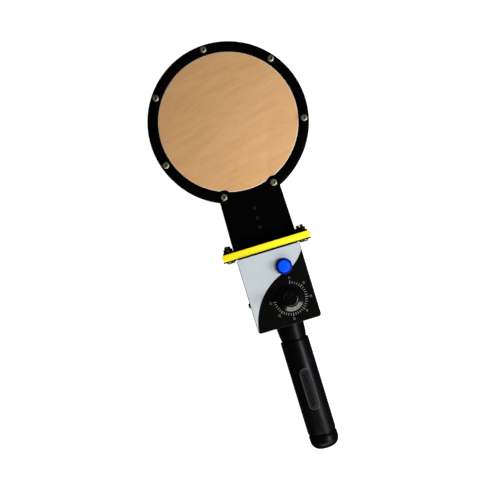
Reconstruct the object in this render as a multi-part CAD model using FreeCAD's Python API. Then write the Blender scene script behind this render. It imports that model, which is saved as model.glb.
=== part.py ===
import FreeCAD, Part
import math
import os

# Hand-held metal detector: a round search head on a flat neck, a control box and a round grip.
# Millimetres. It lies on its back on Z = 0 with its front up. +Y runs from the grip to the search
# head, +X is to the right seen from the front, and the origin is under the middle of the length.
# A distance called "out" is counted from the centre of the search head towards the grip.

V = FreeCAD.Vector
UP, DOWN = V(0, 0, 1), V(0, 0, -1)
TO_HEAD, TO_GRIP = V(0, 1, 0), V(0, -1, 0)
RIGHT, LEFT = V(1, 0, 0), V(-1, 0, 0)

# Driving dimensions: search head
HEAD_R = 90.0
HEAD_THICK = 20.0
FRAME_THICK = 3.5
FRAME_OPENING_R = 78.3
FRAME_LOBE_R = 8.2
RING_SCREW_PITCH_R = 84.5
NECK_SCREW_ANGLE = 20.0
OUTER_SCREW_STEP = 53.1
OUTER_SCREW_MIDDLE = 182.2
INSERT_R = 2.9
INSERT_DEPTH = 8.0
POCKET_R = 77.0
TRANSMIT_R = (71.0, 75.0)
RECEIVE_R = (31.5, 35.5)
DISC_RIM_R = 80.3
DISC_SEAT_Z = 14.0
DISC_PROUD = 0.6
TRAY_FLOOR = 2.5
NECK_ROOT = (83.0, 34.6)
NECK_END = (139.4, 36.0)
NECK_CHANNEL_W = 40.0
NECK_END_BLOCK = 9.0
NECK_PLATE_SCREWS_OUT = (100.5, 111.5, 122.0)

# Driving dimensions: bolted joint between neck and control box
FLANGE_W = 99.5
NECK_FLANGE_W = 96.5
FLANGE_H = 38.0
NECK_FLANGE_THICK = 1.6
SPACER_THICK = 7.5
BOX_FLANGE_THICK = 1.5
FLANGE_BOLT_X = 41.75
FLANGE_BOLT_LEAN = 1.25
FLANGE_BOLT_Z = 13.0
FLANGE_BOLT_LENGTH = 17.5
FLANGE_SCREW_LENGTH = 9.0

# Driving dimensions: control box
BOX_W = 71.2
BOX_L = 84.0
BOX_D = 42.0
BOX_WALL = 2.5
BOX_FLOOR = 3.0
BOX_CORNER_R = 3.3
COVER_THICK = 2.0
LABEL_THICK = 0.4
OVERLAY_MARGIN = 0.6
DARK_ARC_AT = (30.1, -47.2)
DARK_ARC_R = 65.3
FIN_START = (17.5, 16.9)
FIN_MIDDLE = (29.1, 25.7)
FIN_TIP = (36.5, 36.1)
KNOB_AT = (8.7, -14.4)
BUTTON_AT = (11.8, 21.2)
BATTERY_SIZE = (26.5, 48.5, 17.5)
BATTERY_X = -18.4
BOARD_THICK = 1.6
BOARD_Z = 6.5
SIDE_SCREW_OUT = 201.9
SIDE_SCREW_Z = 35.5
TONGUE_Z = (31.9, 34.1)

# Driving dimensions: knob and push button
KNOB_SKIRT_R = 14.25
KNOB_GRIP_R = 7.8
KNOB_H = 15.0
KNOB_GAP = 1.0
KNOB_REST_ANGLE = 172.0
SHAFT_R = 3.0
BUSH_R = 3.6
POT_R = 8.5
BUTTON_RIM_R = 9.0
BUTTON_RIM_H = 3.0
BUTTON_CAP_R = 6.75
BUTTON_CAP_PROUD = 2.5
BUTTON_BORE_R = 7.05
BARREL_R = 7.9
BARREL_LOW = 33.0
SWITCH_LOW = 21.0
SWITCH_TAG_L = 4.0

# Driving dimensions: grip
GRIP_R = 15.95
GRIP_LENGTH = 105.8
COLLAR_LENGTH = 18.2
COLLAR_R = 15.7
COLLAR_WAIST_R = 14.1
END_CAP_LENGTH = 19.0
HANDLE_TUBE_R = 11.0
HANDLE_TUBE_WALL = 1.5
BADGE_W = 12.5
BADGE_L = 47.0
BADGE_OUT = 307.2

# Metric hardware, and the slack left round a piece that is pressed or screwed into a hole
M2, M2_5, M3, M4, M8 = 2.0, 2.5, 3.0, 4.0, 8.0
ACROSS_FLATS = {M3: 5.5, M4: 7.0, M8: 13.0}
SLACK = 0.05
LEAD_R = 2.0
LEAD_Z = 10.3
WIRE_R = 0.6
BATTERY_WIRE_L = 6.6

# Places worked out from the driving dimensions
NECK_FLANGE_OUT = NECK_END[0]
SPACER_OUT = NECK_FLANGE_OUT + NECK_FLANGE_THICK
BOX_FLANGE_OUT = SPACER_OUT + SPACER_THICK
BOX_OUT = BOX_FLANGE_OUT + BOX_FLANGE_THICK
BOX_END_OUT = BOX_OUT + BOX_L
GRIP_OUT = BOX_END_OUT + COLLAR_LENGTH
END_CAP_OUT = GRIP_OUT + GRIP_LENGTH
END_OUT = END_CAP_OUT + END_CAP_LENGTH
HEAD_Y = (HEAD_R + END_OUT) / 2 - HEAD_R
FRAME_Z = HEAD_THICK - FRAME_THICK
MID_Z = BOX_D / 2
PANEL_Z = BOX_D - LABEL_THICK
COVER_Z = PANEL_Z - COVER_THICK
BOX_MID_OUT = BOX_OUT + BOX_L / 2
HALF_BOX = BOX_W / 2
BOX_IN = (BOX_OUT + BOX_WALL, BOX_END_OUT - BOX_WALL)
TONGUE_OUTS = (BOX_MID_OUT - 22, BOX_MID_OUT + 22)
BATTERY_OUTS = (BOX_IN[0] + 13.0, BOX_IN[0] + 13.0 + BATTERY_SIZE[1])
BATTERY_Z = BOX_FLOOR + 0.4
HOLDER_X = (BATTERY_X - 14.5, BATTERY_X + 14.5)
HOLDER_OUTS = (BATTERY_OUTS[0] - 1.5, BATTERY_OUTS[1] + 7.5)
HOLDER_TOP = BATTERY_Z + BATTERY_SIZE[2] + 1.4
HATCH_X = (BATTERY_X - 14.9, BATTERY_X + 14.9)
HATCH_OUTS = (HOLDER_OUTS[0] - 6.5, HOLDER_OUTS[1] + 6.5)
HATCH_THICK = 1.6
BOARD_X = (-3.5, 32.0)
BOARD_OUTS = (BOX_IN[0] + 6.0, BOX_IN[0] + 69.0)
BOARD_TOP = BOARD_Z + BOARD_THICK
KNOB_OUT = BOX_MID_OUT - KNOB_AT[1]
BUTTON_OUT = BOX_MID_OUT - BUTTON_AT[1]
POT_LOW = COVER_Z - 9.5
POT_TAG_Z = POT_LOW + 4.2

nodes = {}


def y(out):
    """Y of a place at a distance from the centre of the search head towards the grip."""
    return HEAD_Y - out


def block(xs, outs, zs):
    """Box between two X values, two distances out and two heights."""
    low = V(xs[0], y(outs[1]), zs[0])
    return Part.makeBox(xs[1] - xs[0], outs[1] - outs[0], zs[1] - zs[0], low)


def round_edges(shape, radius, direction):
    """Rounds the straight edges that run along a direction."""
    def runs_along(edge):
        line = edge.Curve.TypeId == "Part::GeomLine"
        return line and edge.tangentAt(edge.FirstParameter).cross(direction).Length < 1e-6
    return shape.makeFillet(radius, [edge for edge in shape.Edges if runs_along(edge)])


def placed(shape, at, direction):
    """Moves a shape made along +Z at the origin so that it runs along a direction from a point."""
    moved = shape.copy()
    moved.Placement = FreeCAD.Placement(at, FreeCAD.Rotation(UP, direction))
    return moved


def rod(at, radius, length, direction=UP):
    return Part.makeCylinder(radius, length, at, direction)


def tube(at, outer_r, inner_r, length, direction=UP):
    return rod(at, outer_r, length, direction).cut(rod(at, inner_r, length, direction))


def turned(profile, at, direction):
    """Solid of revolution from a closed outline of (radius, height) points."""
    points = [V(radius, 0, height) for radius, height in profile]
    face = Part.Face(Part.makePolygon(points + points[:1]))
    return placed(face.revolve(V(0, 0, 0), UP, 360), at, direction)


def hexagon(across_flats, height):
    corner = across_flats / math.sqrt(3)
    turns = [math.radians(60 * step) for step in range(7)]
    outline = [V(corner * math.cos(turn), corner * math.sin(turn), 0) for turn in turns]
    return Part.Face(Part.makePolygon(outline)).extrude(V(0, 0, height))


def socket_screw(size, length):
    """Socket-head cap screw: the head stands on Z = 0 and the shank goes down."""
    head = rod(V(0, 0, 0), 0.92 * size, size)
    head = head.makeChamfer(0.08 * size, [head.Edges[0]])
    socket = placed(hexagon(0.75 * size, 0.6 * size), V(0, 0, 0.45 * size), UP)
    return head.fuse(rod(V(0, 0, 0), size / 2, length, DOWN)).removeSplitter().cut(socket)


def flat_screw(size, length):
    """Countersunk cross-slot screw: the top of the head is at Z = 0."""
    head_r, depth = 0.92 * size, 0.5 * size
    cone = Part.makeCone(size / 2, head_r, depth, V(0, 0, -depth))
    slot_w, slot_l, slot_d = 0.18 * size, 0.9 * size, 0.25 * size
    slots = [Part.makeBox(w, l, slot_d, V(-w / 2, -l / 2, -slot_d))
             for w, l in ((slot_w, slot_l), (slot_l, slot_w))]
    return cone.fuse(rod(V(0, 0, 0), size / 2, length, DOWN)).cut(slots)


def pan_screw(size, length):
    """Cross-slot pan-head screw: the head stands on Z = 0."""
    head = rod(V(0, 0, 0), 0.95 * size, 0.6 * size)
    slot_w, slot_l, slot_d = 0.18 * size, 1.0 * size, 0.3 * size
    slots = [Part.makeBox(w, l, slot_d, V(-w / 2, -l / 2, 0.6 * size - slot_d))
             for w, l in ((slot_w, slot_l), (slot_l, slot_w))]
    return head.fuse(rod(V(0, 0, 0), size / 2, length, DOWN)).cut(slots)


def dome_bolt(size, length):
    """Dome-head socket bolt: the head stands on Z = 0 and the shank goes down."""
    head_r, head_h = 0.95 * size, 0.6 * size
    ball_r = (head_r ** 2 + head_h ** 2) / (2 * head_h)
    ball = Part.makeSphere(ball_r, V(0, 0, head_h - ball_r))
    head = ball.common(rod(V(0, 0, 0), head_r, head_h))
    socket = placed(hexagon(0.625 * size, head_h), V(0, 0, 0.25 * size), UP)
    return head.fuse(rod(V(0, 0, 0), size / 2, length, DOWN)).cut(socket)


def hex_bolt(size, length):
    head = hexagon(ACROSS_FLATS[size], 0.68 * size)
    return head.fuse(rod(V(0, 0, 0), size / 2, length, DOWN))


def nut(size):
    return hexagon(ACROSS_FLATS[size], 0.8 * size).cut(rod(V(0, 0, 0), size / 2 + SLACK, 0.8 * size))


def washer(size):
    return tube(V(0, 0, 0), 1.1 * size, 0.53 * size, 0.2 * size)


def group(shape, places, direction):
    """The same fastener at several places, as separate solids of one node."""
    return Part.makeCompound([placed(shape, at, direction) for at in places])


def drill(shape, places, radius, length, direction):
    return shape.cut([rod(at, radius, length, direction) for at in places])


# --- Search head -------------------------------------------------------------------------------

def ring_screw_places(height):
    """Two screws at the neck, and five spaced evenly round the ring, turned a little as a set."""
    outer = [OUTER_SCREW_MIDDLE + OUTER_SCREW_STEP * n for n in (-2, -1, 0, 1, 2)]
    turns = [math.radians(angle) for angle in (NECK_SCREW_ANGLE, *outer, 360 - NECK_SCREW_ANGLE)]
    return [V(RING_SCREW_PITCH_R * math.sin(turn), y(RING_SCREW_PITCH_R * math.cos(turn)), height)
            for turn in turns]


def neck_screw_lobes(radius, height, thick):
    places = ring_screw_places(height)
    return [rod(place, radius, thick) for place in (places[0], places[-1])]


def head_outline(low, thick):
    """The head's disc and its neck, which widens a little to its end, as one slab."""
    disc = rod(V(0, y(0), low), HEAD_R, thick)
    (root_out, root_half), (end_out, end_half) = NECK_ROOT, NECK_END
    start_out = root_out - 20
    start_half = root_half - 20 * (end_half - root_half) / (end_out - root_out)
    corners = [V(-start_half, y(start_out), low), V(start_half, y(start_out), low),
               V(end_half, y(end_out), low), V(-end_half, y(end_out), low)]
    neck = Part.Face(Part.makePolygon(corners + corners[:1])).extrude(V(0, 0, thick))
    return disc.fuse(neck).removeSplitter()


def make_coil_tray():
    """Back shell: pocket for the coils, seat for the disc, channel in the neck, end block."""
    tray = head_outline(0, FRAME_Z)
    tray = tray.cut(rod(V(0, y(0), TRAY_FLOOR), POCKET_R, HEAD_THICK))
    tray = tray.cut(rod(V(0, y(0), DISC_SEAT_Z), DISC_RIM_R + 0.2, HEAD_THICK))
    half, end_out = NECK_CHANNEL_W / 2, NECK_END[0]
    channel_outs = (93.0, end_out - NECK_END_BLOCK)
    tray = tray.cut(block((-half, half), channel_outs, (TRAY_FLOOR, HEAD_THICK)))
    slot_z = (LEAD_Z - 3.5, LEAD_Z + 3.5)
    tray = tray.cut(block((-5, 5), (POCKET_R - 3, channel_outs[0] + 1), slot_z))
    tray = tray.cut(rod(V(0, y(end_out - NECK_END_BLOCK - 1), LEAD_Z), 4.0, 20, TO_GRIP))
    depth = INSERT_DEPTH + 3
    tray = drill(tray, ring_screw_places(FRAME_Z), INSERT_R + SLACK, depth, DOWN)
    return drill(tray, neck_flange_screw_places(), M3 / 2 + SLACK, 8.5, TO_HEAD)


def neck_flange_screw_places():
    return [V(side * 28, y(NECK_FLANGE_OUT), LEAD_Z) for side in (-1, 1)]


def make_head_frame():
    """Front plate: a ring with two lobes at the neck screws, in one piece with the neck's top."""
    frame = head_outline(FRAME_Z, FRAME_THICK)
    opening = rod(V(0, y(0), FRAME_Z), FRAME_OPENING_R, FRAME_THICK)
    opening = opening.cut(neck_screw_lobes(FRAME_LOBE_R, FRAME_Z, FRAME_THICK))
    frame = frame.cut(opening)
    frame = drill(frame, ring_screw_places(FRAME_Z), M4 / 2 + 0.2, FRAME_THICK, UP)
    return frame.cut([placed(clearance(M2), at, UP) for at in neck_plate_screw_places()])


def clearance(size):
    """Countersunk hole for a flat screw whose head is flush."""
    cone = Part.makeCone(size / 2 + SLACK, 0.92 * size + SLACK, 0.5 * size, V(0, 0, -0.5 * size))
    return cone.fuse(rod(V(0, 0, 0), size / 2 + SLACK, 12, DOWN))


def neck_plate_screw_places():
    return [V(0, y(out), HEAD_THICK) for out in NECK_PLATE_SCREWS_OUT]


def make_face_disc():
    """Sensing face: its rim is clamped under the frame and its middle stands just proud."""
    rim = rod(V(0, y(0), DISC_SEAT_Z), DISC_RIM_R, FRAME_Z - DISC_SEAT_Z)
    middle = rod(V(0, y(0), FRAME_Z), FRAME_OPENING_R - 0.3, FRAME_THICK + DISC_PROUD)
    middle = middle.cut(neck_screw_lobes(FRAME_LOBE_R + 0.3, FRAME_Z, HEAD_THICK))
    top = [edge for edge in middle.Edges if edge.BoundBox.ZMin > HEAD_THICK]
    return rim.fuse(middle.makeChamfer(0.5, top))


def make_coil_former():
    """Moulded former: a flat ring with a channel for each of the two windings."""
    base, sheet, wall, height = TRAY_FLOOR, 2.0, 1.4, 9.5
    former = tube(V(0, y(0), base), POCKET_R - 0.5, 5.0, sheet)
    inner_radii = (RECEIVE_R[0] - 0.1 - wall, RECEIVE_R[1] + 0.1, TRANSMIT_R[0] - 0.1 - wall,
                   POCKET_R - 0.5 - wall)
    for inner_r in inner_radii:
        former = former.fuse(tube(V(0, y(0), base), inner_r + wall, inner_r, height))
    return former.removeSplitter()


def make_head():
    nodes["coil_tray"] = make_coil_tray()
    nodes["head_frame"] = make_head_frame()
    nodes["face_disc"] = make_face_disc()
    nodes["coil_former"] = make_coil_former()
    winding_z, winding_h = TRAY_FLOOR + 2.0, 6.5
    middle = V(0, y(0), winding_z)
    nodes["transmit_coil"] = tube(middle, TRANSMIT_R[1], TRANSMIT_R[0], winding_h)
    nodes["receive_coil"] = tube(middle, RECEIVE_R[1], RECEIVE_R[0], winding_h)
    foam_h = DISC_SEAT_Z - winding_z
    outer_foam = tube(middle, TRANSMIT_R[0] - 1.6, RECEIVE_R[1] + 1.6, foam_h)
    inner_foam = rod(middle, RECEIVE_R[0] - 1.6, foam_h)
    nodes["foam_pads"] = Part.makeCompound([outer_foam, inner_foam])
    nodes["ring_screws"] = group(socket_screw(M4, 12), ring_screw_places(HEAD_THICK), UP)
    insert = tube(V(0, 0, -INSERT_DEPTH), INSERT_R, M4 / 2 + SLACK, INSERT_DEPTH)
    nodes["thread_inserts"] = group(insert, ring_screw_places(FRAME_Z), UP)
    nodes["neck_screws"] = group(flat_screw(M2, 6), neck_plate_screw_places(), UP)
    nodes["lead_clip"] = make_lead_clip()


def make_lead_clip():
    """Saddle under the neck plate that holds the coil lead down."""
    first, last = NECK_PLATE_SCREWS_OUT[0] - 4, NECK_PLATE_SCREWS_OUT[-1] + 4
    clip = block((-5, 5), (first, last), (LEAD_Z - 2, FRAME_Z))
    clip = clip.cut(block((-LEAD_R - 0.1, LEAD_R + 0.1), (first, last), (LEAD_Z - 2, LEAD_Z)))
    clip = clip.cut(rod(V(0, y(first), LEAD_Z), LEAD_R + 0.1, last - first, TO_GRIP))
    return drill(clip, neck_plate_screw_places(), M2 / 2 + SLACK, 6.5, DOWN)


# --- Bolted joint ------------------------------------------------------------------------------

def flange_bolt_places(out):
    return [V(side * (FLANGE_BOLT_X + rise * FLANGE_BOLT_LEAN), y(out), MID_Z + rise * FLANGE_BOLT_Z)
            for side in (-1, 1) for rise in (-1, 1)]


def flange_plate(width, out, thick, lead_hole_r, corner_r, rounded_along=TO_GRIP):
    """Upright plate with four bolt holes and a hole for the coil lead."""
    half_w, half_h = width / 2, FLANGE_H / 2
    plate = block((-half_w, half_w), (out, out + thick), (MID_Z - half_h, MID_Z + half_h))
    plate = round_edges(plate, corner_r, rounded_along)
    plate = drill(plate, flange_bolt_places(out), M4 / 2 + 0.15, thick, TO_GRIP)
    return plate.cut(rod(V(0, y(out), LEAD_Z), lead_hole_r, thick, TO_GRIP))


def box_flange_screw_places(out):
    return [V(side * 26, y(out), height) for side in (-1, 1) for height in (12.0, 31.0)]


def make_bolted_joint():
    neck_flange = flange_plate(NECK_FLANGE_W, NECK_FLANGE_OUT, NECK_FLANGE_THICK, 4.0, 2.0)
    face = [V(p.x, y(SPACER_OUT), p.z) for p in neck_flange_screw_places()]
    nodes["neck_flange"] = neck_flange.cut([placed(clearance(M3), at, TO_GRIP) for at in face])
    nodes["yellow_spacer"] = flange_plate(FLANGE_W, SPACER_OUT, SPACER_THICK, 8.0, 2.5, UP)
    box_flange = flange_plate(FLANGE_W, BOX_FLANGE_OUT, BOX_FLANGE_THICK, 4.0, 2.0)
    fixing = box_flange_screw_places(BOX_FLANGE_OUT)
    nodes["box_flange"] = box_flange.cut([placed(clearance(M3), at, TO_HEAD) for at in fixing])
    screw = flat_screw(M3, FLANGE_SCREW_LENGTH)
    nodes["flange_screws"] = Part.makeCompound([group(screw, face, TO_GRIP),
                                                group(screw, fixing, TO_HEAD)])
    bolt = dome_bolt(M4, FLANGE_BOLT_LENGTH)
    nodes["flange_bolts"] = group(bolt, flange_bolt_places(BOX_OUT), TO_GRIP)
    nut_out = NECK_FLANGE_OUT - 0.2 * M4
    nodes["flange_washers"] = group(washer(M4), flange_bolt_places(nut_out), TO_GRIP)
    outside = group(nut(M4), flange_bolt_places(nut_out), TO_HEAD)
    inside = group(nut(M3), box_flange_screw_places(BOX_OUT + BOX_WALL), TO_GRIP)
    nodes["flange_nuts"] = Part.makeCompound([outside, inside])


# --- Control box -------------------------------------------------------------------------------

def panel_outline(low, thick, margin=0.0):
    """Rounded rectangle of the control box's front, smaller all round by a margin."""
    half, outs = HALF_BOX - margin, (BOX_OUT + margin, BOX_END_OUT - margin)
    slab = block((-half, half), outs, (low, low + thick))
    return round_edges(slab, BOX_CORNER_R - margin, UP)


def hatch_screw_places():
    outs = (HATCH_OUTS[0] + 3.2, HATCH_OUTS[1] - 3.2)
    return [V(BATTERY_X, y(out), 0) for out in outs]


def board_screw_places(height):
    outs = (BOARD_OUTS[0] + 3.0, BOARD_OUTS[1] - 3.0)
    return [V(x, y(out), height) for x in (8.0, 28.5) for out in outs]


def make_box_shell():
    """Deep back half: walls, floor with the battery hatch's opening, bosses and pillars."""
    shell = panel_outline(0, COVER_Z)
    back = [edge for edge in shell.Edges if edge.BoundBox.ZMax < 0.01]
    shell = shell.makeFillet(1.2, back)
    inner = (-HALF_BOX + BOX_WALL, HALF_BOX - BOX_WALL)
    shell = shell.cut(block(inner, BOX_IN, (BOX_FLOOR, BOX_D)))
    shell = shell.cut(block(HATCH_X, HATCH_OUTS, (0, HATCH_THICK)))
    opening_x = (HATCH_X[0] + 1.5, HATCH_X[1] - 1.5)
    shell = shell.cut(block(opening_x, HOLDER_OUTS, (0, BOX_FLOOR)))
    bosses = [rod(V(at.x, at.y, HATCH_THICK), 3.0, 6.0) for at in hatch_screw_places()]
    pillars = [rod(at, 3.0, BOARD_Z - BOX_FLOOR) for at in board_screw_places(BOX_FLOOR)]
    shell = drill(shell.fuse(bosses + pillars), hatch_screw_places(), M3 / 2 + SLACK, 6.5, UP)
    shell = drill(shell, board_screw_places(BOX_FLOOR - 1), M2_5 / 2 + SLACK, BOARD_Z, UP)
    shell = shell.cut(rod(V(0, y(BOX_OUT - 1), LEAD_Z), 3.6, BOX_WALL + 2, TO_GRIP))
    shell = drill(shell, box_flange_screw_places(BOX_OUT), M3 / 2 + 0.15, BOX_WALL, TO_GRIP)
    shell = shell.cut(rod(V(0, y(BOX_IN[1]), MID_Z), M8 / 2 + 0.2, BOX_WALL, TO_GRIP))
    side = V(-HALF_BOX, y(SIDE_SCREW_OUT), SIDE_SCREW_Z)
    shell = shell.cut(rod(side, M3 / 2 + 0.1, BOX_WALL, RIGHT))
    slots = [block((HALF_BOX - BOX_WALL, HALF_BOX - 1), (out - 5.2, out + 5.2), TONGUE_Z)
             for out in TONGUE_OUTS]
    return shell.cut(slots).removeSplitter()


def make_front_cover():
    """Flat front with a lip inside the walls, a screw tab on the left and two tongues."""
    cover = panel_outline(COVER_Z, COVER_THICK)
    cover = cover.makeFillet(0.5, [edge for edge in cover.Edges if edge.BoundBox.ZMin > COVER_Z + 1])
    edge = HALF_BOX - BOX_WALL - 0.2
    lip_outs = (BOX_IN[0] + 0.2, BOX_IN[1] - 0.2)
    lip = block((-edge, edge), lip_outs, (36.5, COVER_Z))
    lip = lip.cut(block((-edge + 1.5, edge - 1.5), (lip_outs[0] + 1.5, lip_outs[1] - 1.5), (30, BOX_D)))
    lip = lip.cut([block((x - 5, x + 5), (BOX_IN[0], BOX_IN[0] + 5), (30, 37)) for x in (-26, 26)])
    tab = block((-edge, -edge + 5), (SIDE_SCREW_OUT - 5, SIDE_SCREW_OUT + 5), (31, COVER_Z))
    cover = cover.fuse([lip, tab])
    for out in TONGUE_OUTS:
        stem = block((edge - 1.5, edge), (out - 5, out + 5), (32.0, COVER_Z))
        hook = block((edge - 1.5, edge + 1.5), (out - 5, out + 5), (32.0, 34.0))
        cover = cover.fuse([stem, hook])
    hole = rod(V(-HALF_BOX, y(SIDE_SCREW_OUT), SIDE_SCREW_Z), M3 / 2 + SLACK, 8, RIGHT)
    cover = cover.removeSplitter().cut(hole)
    return pierce_panel(cover, COVER_Z, COVER_THICK)


def pierce_panel(sheet, low, thick):
    """Holes for the potentiometer's bush and the push button's barrel."""
    bush = rod(V(KNOB_AT[0], y(KNOB_OUT), low), BUSH_R + 0.1, thick)
    barrel = rod(V(BUTTON_AT[0], y(BUTTON_OUT), low), BARREL_R + 0.1, thick)
    return sheet.cut([bush, barrel])


def dark_region(low, thick):
    """The overlay's dark part: inside a large arc, with a fin that sweeps to the right edge."""
    def at(place):
        return V(place[0], y(BOX_MID_OUT) + place[1], low)
    bottom = -BOX_L / 2 - 1
    rise = bottom - DARK_ARC_AT[1]
    start = (DARK_ARC_AT[0] - math.sqrt(DARK_ARC_R ** 2 - rise ** 2), bottom)
    lean = math.radians(140)
    middle = (DARK_ARC_AT[0] + DARK_ARC_R * math.cos(lean),
              DARK_ARC_AT[1] + DARK_ARC_R * math.sin(lean))
    corner = (FIN_TIP[0], bottom)
    edges = [Part.Arc(at(start), at(middle), at(FIN_START)).toShape(),
             Part.Arc(at(FIN_START), at(FIN_MIDDLE), at(FIN_TIP)).toShape(),
             Part.makeLine(at(FIN_TIP), at(corner)),
             Part.makeLine(at(corner), at(start))]
    return Part.Face(Part.Wire(edges)).extrude(V(0, 0, thick))


def make_overlay():
    outline = panel_outline(PANEL_Z, LABEL_THICK, OVERLAY_MARGIN)
    sheet = pierce_panel(outline, PANEL_Z, LABEL_THICK)
    dark = dark_region(PANEL_Z, LABEL_THICK)
    nodes["overlay_light"] = sheet.cut(dark)
    nodes["overlay_dark"] = sheet.common(dark)


def make_battery_holder():
    """Upside-down tub over the battery, open to the hatch, with a notch for the leads."""
    wall = 1.0
    tub = block(HOLDER_X, HOLDER_OUTS, (BOX_FLOOR, HOLDER_TOP))
    inside_x = (HOLDER_X[0] + wall, HOLDER_X[1] - wall)
    inside_outs = (HOLDER_OUTS[0] + wall, HOLDER_OUTS[1] - wall)
    tub = tub.cut(block(inside_x, inside_outs, (BOX_FLOOR, HOLDER_TOP - wall)))
    notch_outs = (BATTERY_OUTS[1] + 1.5, BATTERY_OUTS[1] + 6.0)
    return tub.cut(block((HOLDER_X[1] - 2, HOLDER_X[1] + 1), notch_outs, (9.5, 14.0)))


def battery_wire_places():
    """Where the battery's two wires leave the snap, towards the header on the board."""
    x = BATTERY_X + BATTERY_SIZE[0] / 2 - 1
    return [V(x, y(BATTERY_OUTS[1] + rise), 11.5) for rise in (2.6, 4.6)]


def make_battery():
    half = BATTERY_SIZE[0] / 2
    xs = (BATTERY_X - half, BATTERY_X + half)
    body = block(xs, BATTERY_OUTS, (BATTERY_Z, BATTERY_Z + BATTERY_SIZE[2]))
    nodes["battery"] = round_edges(body, 2.0, TO_GRIP)
    snap_outs = (BATTERY_OUTS[1], BATTERY_OUTS[1] + 6.0)
    snap_z = (BATTERY_Z + 2.5, BATTERY_Z + 15.0)
    nodes["battery_snap"] = block((xs[0] + 1, xs[1] - 1), snap_outs, snap_z)
    nodes["battery_holder"] = make_battery_holder()
    hatch_x = (HATCH_X[0] + 0.15, HATCH_X[1] - 0.15)
    hatch_outs = (HATCH_OUTS[0] + 0.15, HATCH_OUTS[1] - 0.15)
    hatch = block(hatch_x, hatch_outs, (0, HATCH_THICK))
    holes = [placed(clearance(M3), at, DOWN) for at in hatch_screw_places()]
    nodes["battery_hatch"] = hatch.cut(holes)
    nodes["hatch_screws"] = group(flat_screw(M3, 6), hatch_screw_places(), DOWN)


def chip(x, out, length):
    """Dual in-line chip with its two rows of legs."""
    half_w, leg = 3.2, 0.6
    body = block((x - half_w, x + half_w), (out, out + length), (BOARD_TOP + 0.8, BOARD_TOP + 4.1))
    rows = [block((x + side * 3.8 - 0.3, x + side * 3.8 + 0.3), (out + n, out + n + leg),
                  (BOARD_TOP, BOARD_TOP + 2.4))
            for side in (-1, 1) for n in [1.0 + 2.54 * k for k in range(int(length / 2.54))]]
    arms = [block((x - 3.8, x + 3.8), (out + 1.0 + 2.54 * k, out + 1.6 + 2.54 * k),
                  (BOARD_TOP + 1.8, BOARD_TOP + 2.4)) for k in range(int(length / 2.54))]
    return body.fuse(rows + arms)


def make_circuit():
    board = block(BOARD_X, BOARD_OUTS, (BOARD_Z, BOARD_TOP))
    nodes["circuit_board"] = drill(board, board_screw_places(BOARD_Z), 1.35, BOARD_THICK, UP)
    nodes["board_screws"] = group(pan_screw(M2_5, 4.5), board_screw_places(BOARD_TOP), UP)
    first = BOARD_OUTS[0]
    header = block((-3.5, 3.5), (first + 5, first + 13), (BOARD_TOP, BOARD_TOP + 5.4))
    header = header.cut(rod(V(0, y(first + 4), LEAD_Z), LEAD_R + SLACK, 5, TO_GRIP))
    signal_chip = chip(11.5, first + 16.0, 17.8)
    nodes["circuit_chips"] = Part.makeCompound([signal_chip, chip(24.5, first + 10.0, 10.2)])
    cans = [V(0.5, y(first + out), BOARD_TOP) for out in (20.0, 28.5, 37.0)]
    nodes["capacitors"] = group(rod(V(0, 0, 0), 3.15, 11.0), cans, UP)
    nodes["coil_transformer"] = make_transformer(24.0, first + 44.0)
    nodes["tone_trimmer"] = make_trimmer(24.5, first + 30.0)
    sounder = turned([(1.2, 0), (6, 0), (6, 9), (1.2, 9)], V(5.5, y(first + 49), BOARD_TOP), UP)
    nodes["sounder"] = sounder.fuse(rod(V(5.5, y(first + 49), BOARD_TOP), 1.2, 6))
    plug_outs = (BATTERY_OUTS[1] + 1.4, BATTERY_OUTS[1] + 5.8)
    plug = block((-3.3, 1.0), plug_outs, (BOARD_TOP, BOARD_TOP + 5.5))
    ends = [rod(at, WIRE_R + SLACK, BATTERY_WIRE_L, RIGHT) for at in battery_wire_places()]
    nodes["board_headers"] = Part.makeCompound([header, plug.cut(ends)])


def make_transformer(x, out):
    """Ferrite drum with a winding between its two flanges."""
    flange_r, winding_r, flange_h, height = 6.0, 4.9, 1.5, 10.0
    drum = [(0, 0), (flange_r, 0), (flange_r, flange_h), (winding_r, flange_h),
            (winding_r, height - flange_h), (flange_r, height - flange_h), (flange_r, height),
            (0, height)]
    return turned(drum, V(x, y(out), BOARD_TOP), UP)


def make_trimmer(x, out):
    body = block((x - 4.75, x + 4.75), (out - 2.5, out + 2.5), (BOARD_TOP, BOARD_TOP + 8))
    screw = rod(V(x + 3, y(out), BOARD_TOP + 8), 1.1, 1.2)
    slot = block((x + 1.5, x + 4.5), (out - 0.2, out + 0.2), (BOARD_TOP + 8.7, BOARD_TOP + 9.5))
    return body.fuse(screw).cut(slot)


def make_lead():
    """Screened lead from the coils, along the neck and into the header on the board."""
    start, end = POCKET_R - 0.3, BOARD_OUTS[0] + 8.5
    lead = rod(V(0, y(start), LEAD_Z), LEAD_R, end - start, TO_GRIP)
    nodes["coil_lead"] = lead
    collar_r, hole_r, bore_r = 5.0, 3.55, LEAD_R + SLACK
    profile = [(bore_r, 0), (hole_r, 0), (hole_r, BOX_WALL), (collar_r, BOX_WALL),
               (collar_r, BOX_WALL + 1.4), (bore_r, BOX_WALL + 1.4)]
    nodes["lead_grommet"] = turned(profile, V(0, y(BOX_OUT), LEAD_Z), TO_GRIP)


def make_box():
    nodes["box_shell"] = make_box_shell()
    nodes["front_cover"] = make_front_cover()
    make_overlay()
    side = V(-HALF_BOX, y(SIDE_SCREW_OUT), SIDE_SCREW_Z)
    nodes["side_screw"] = placed(pan_screw(M3, 7), side, LEFT)
    make_battery()
    make_circuit()
    make_lead()


# --- Knob and push button ----------------------------------------------------------------------

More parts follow.
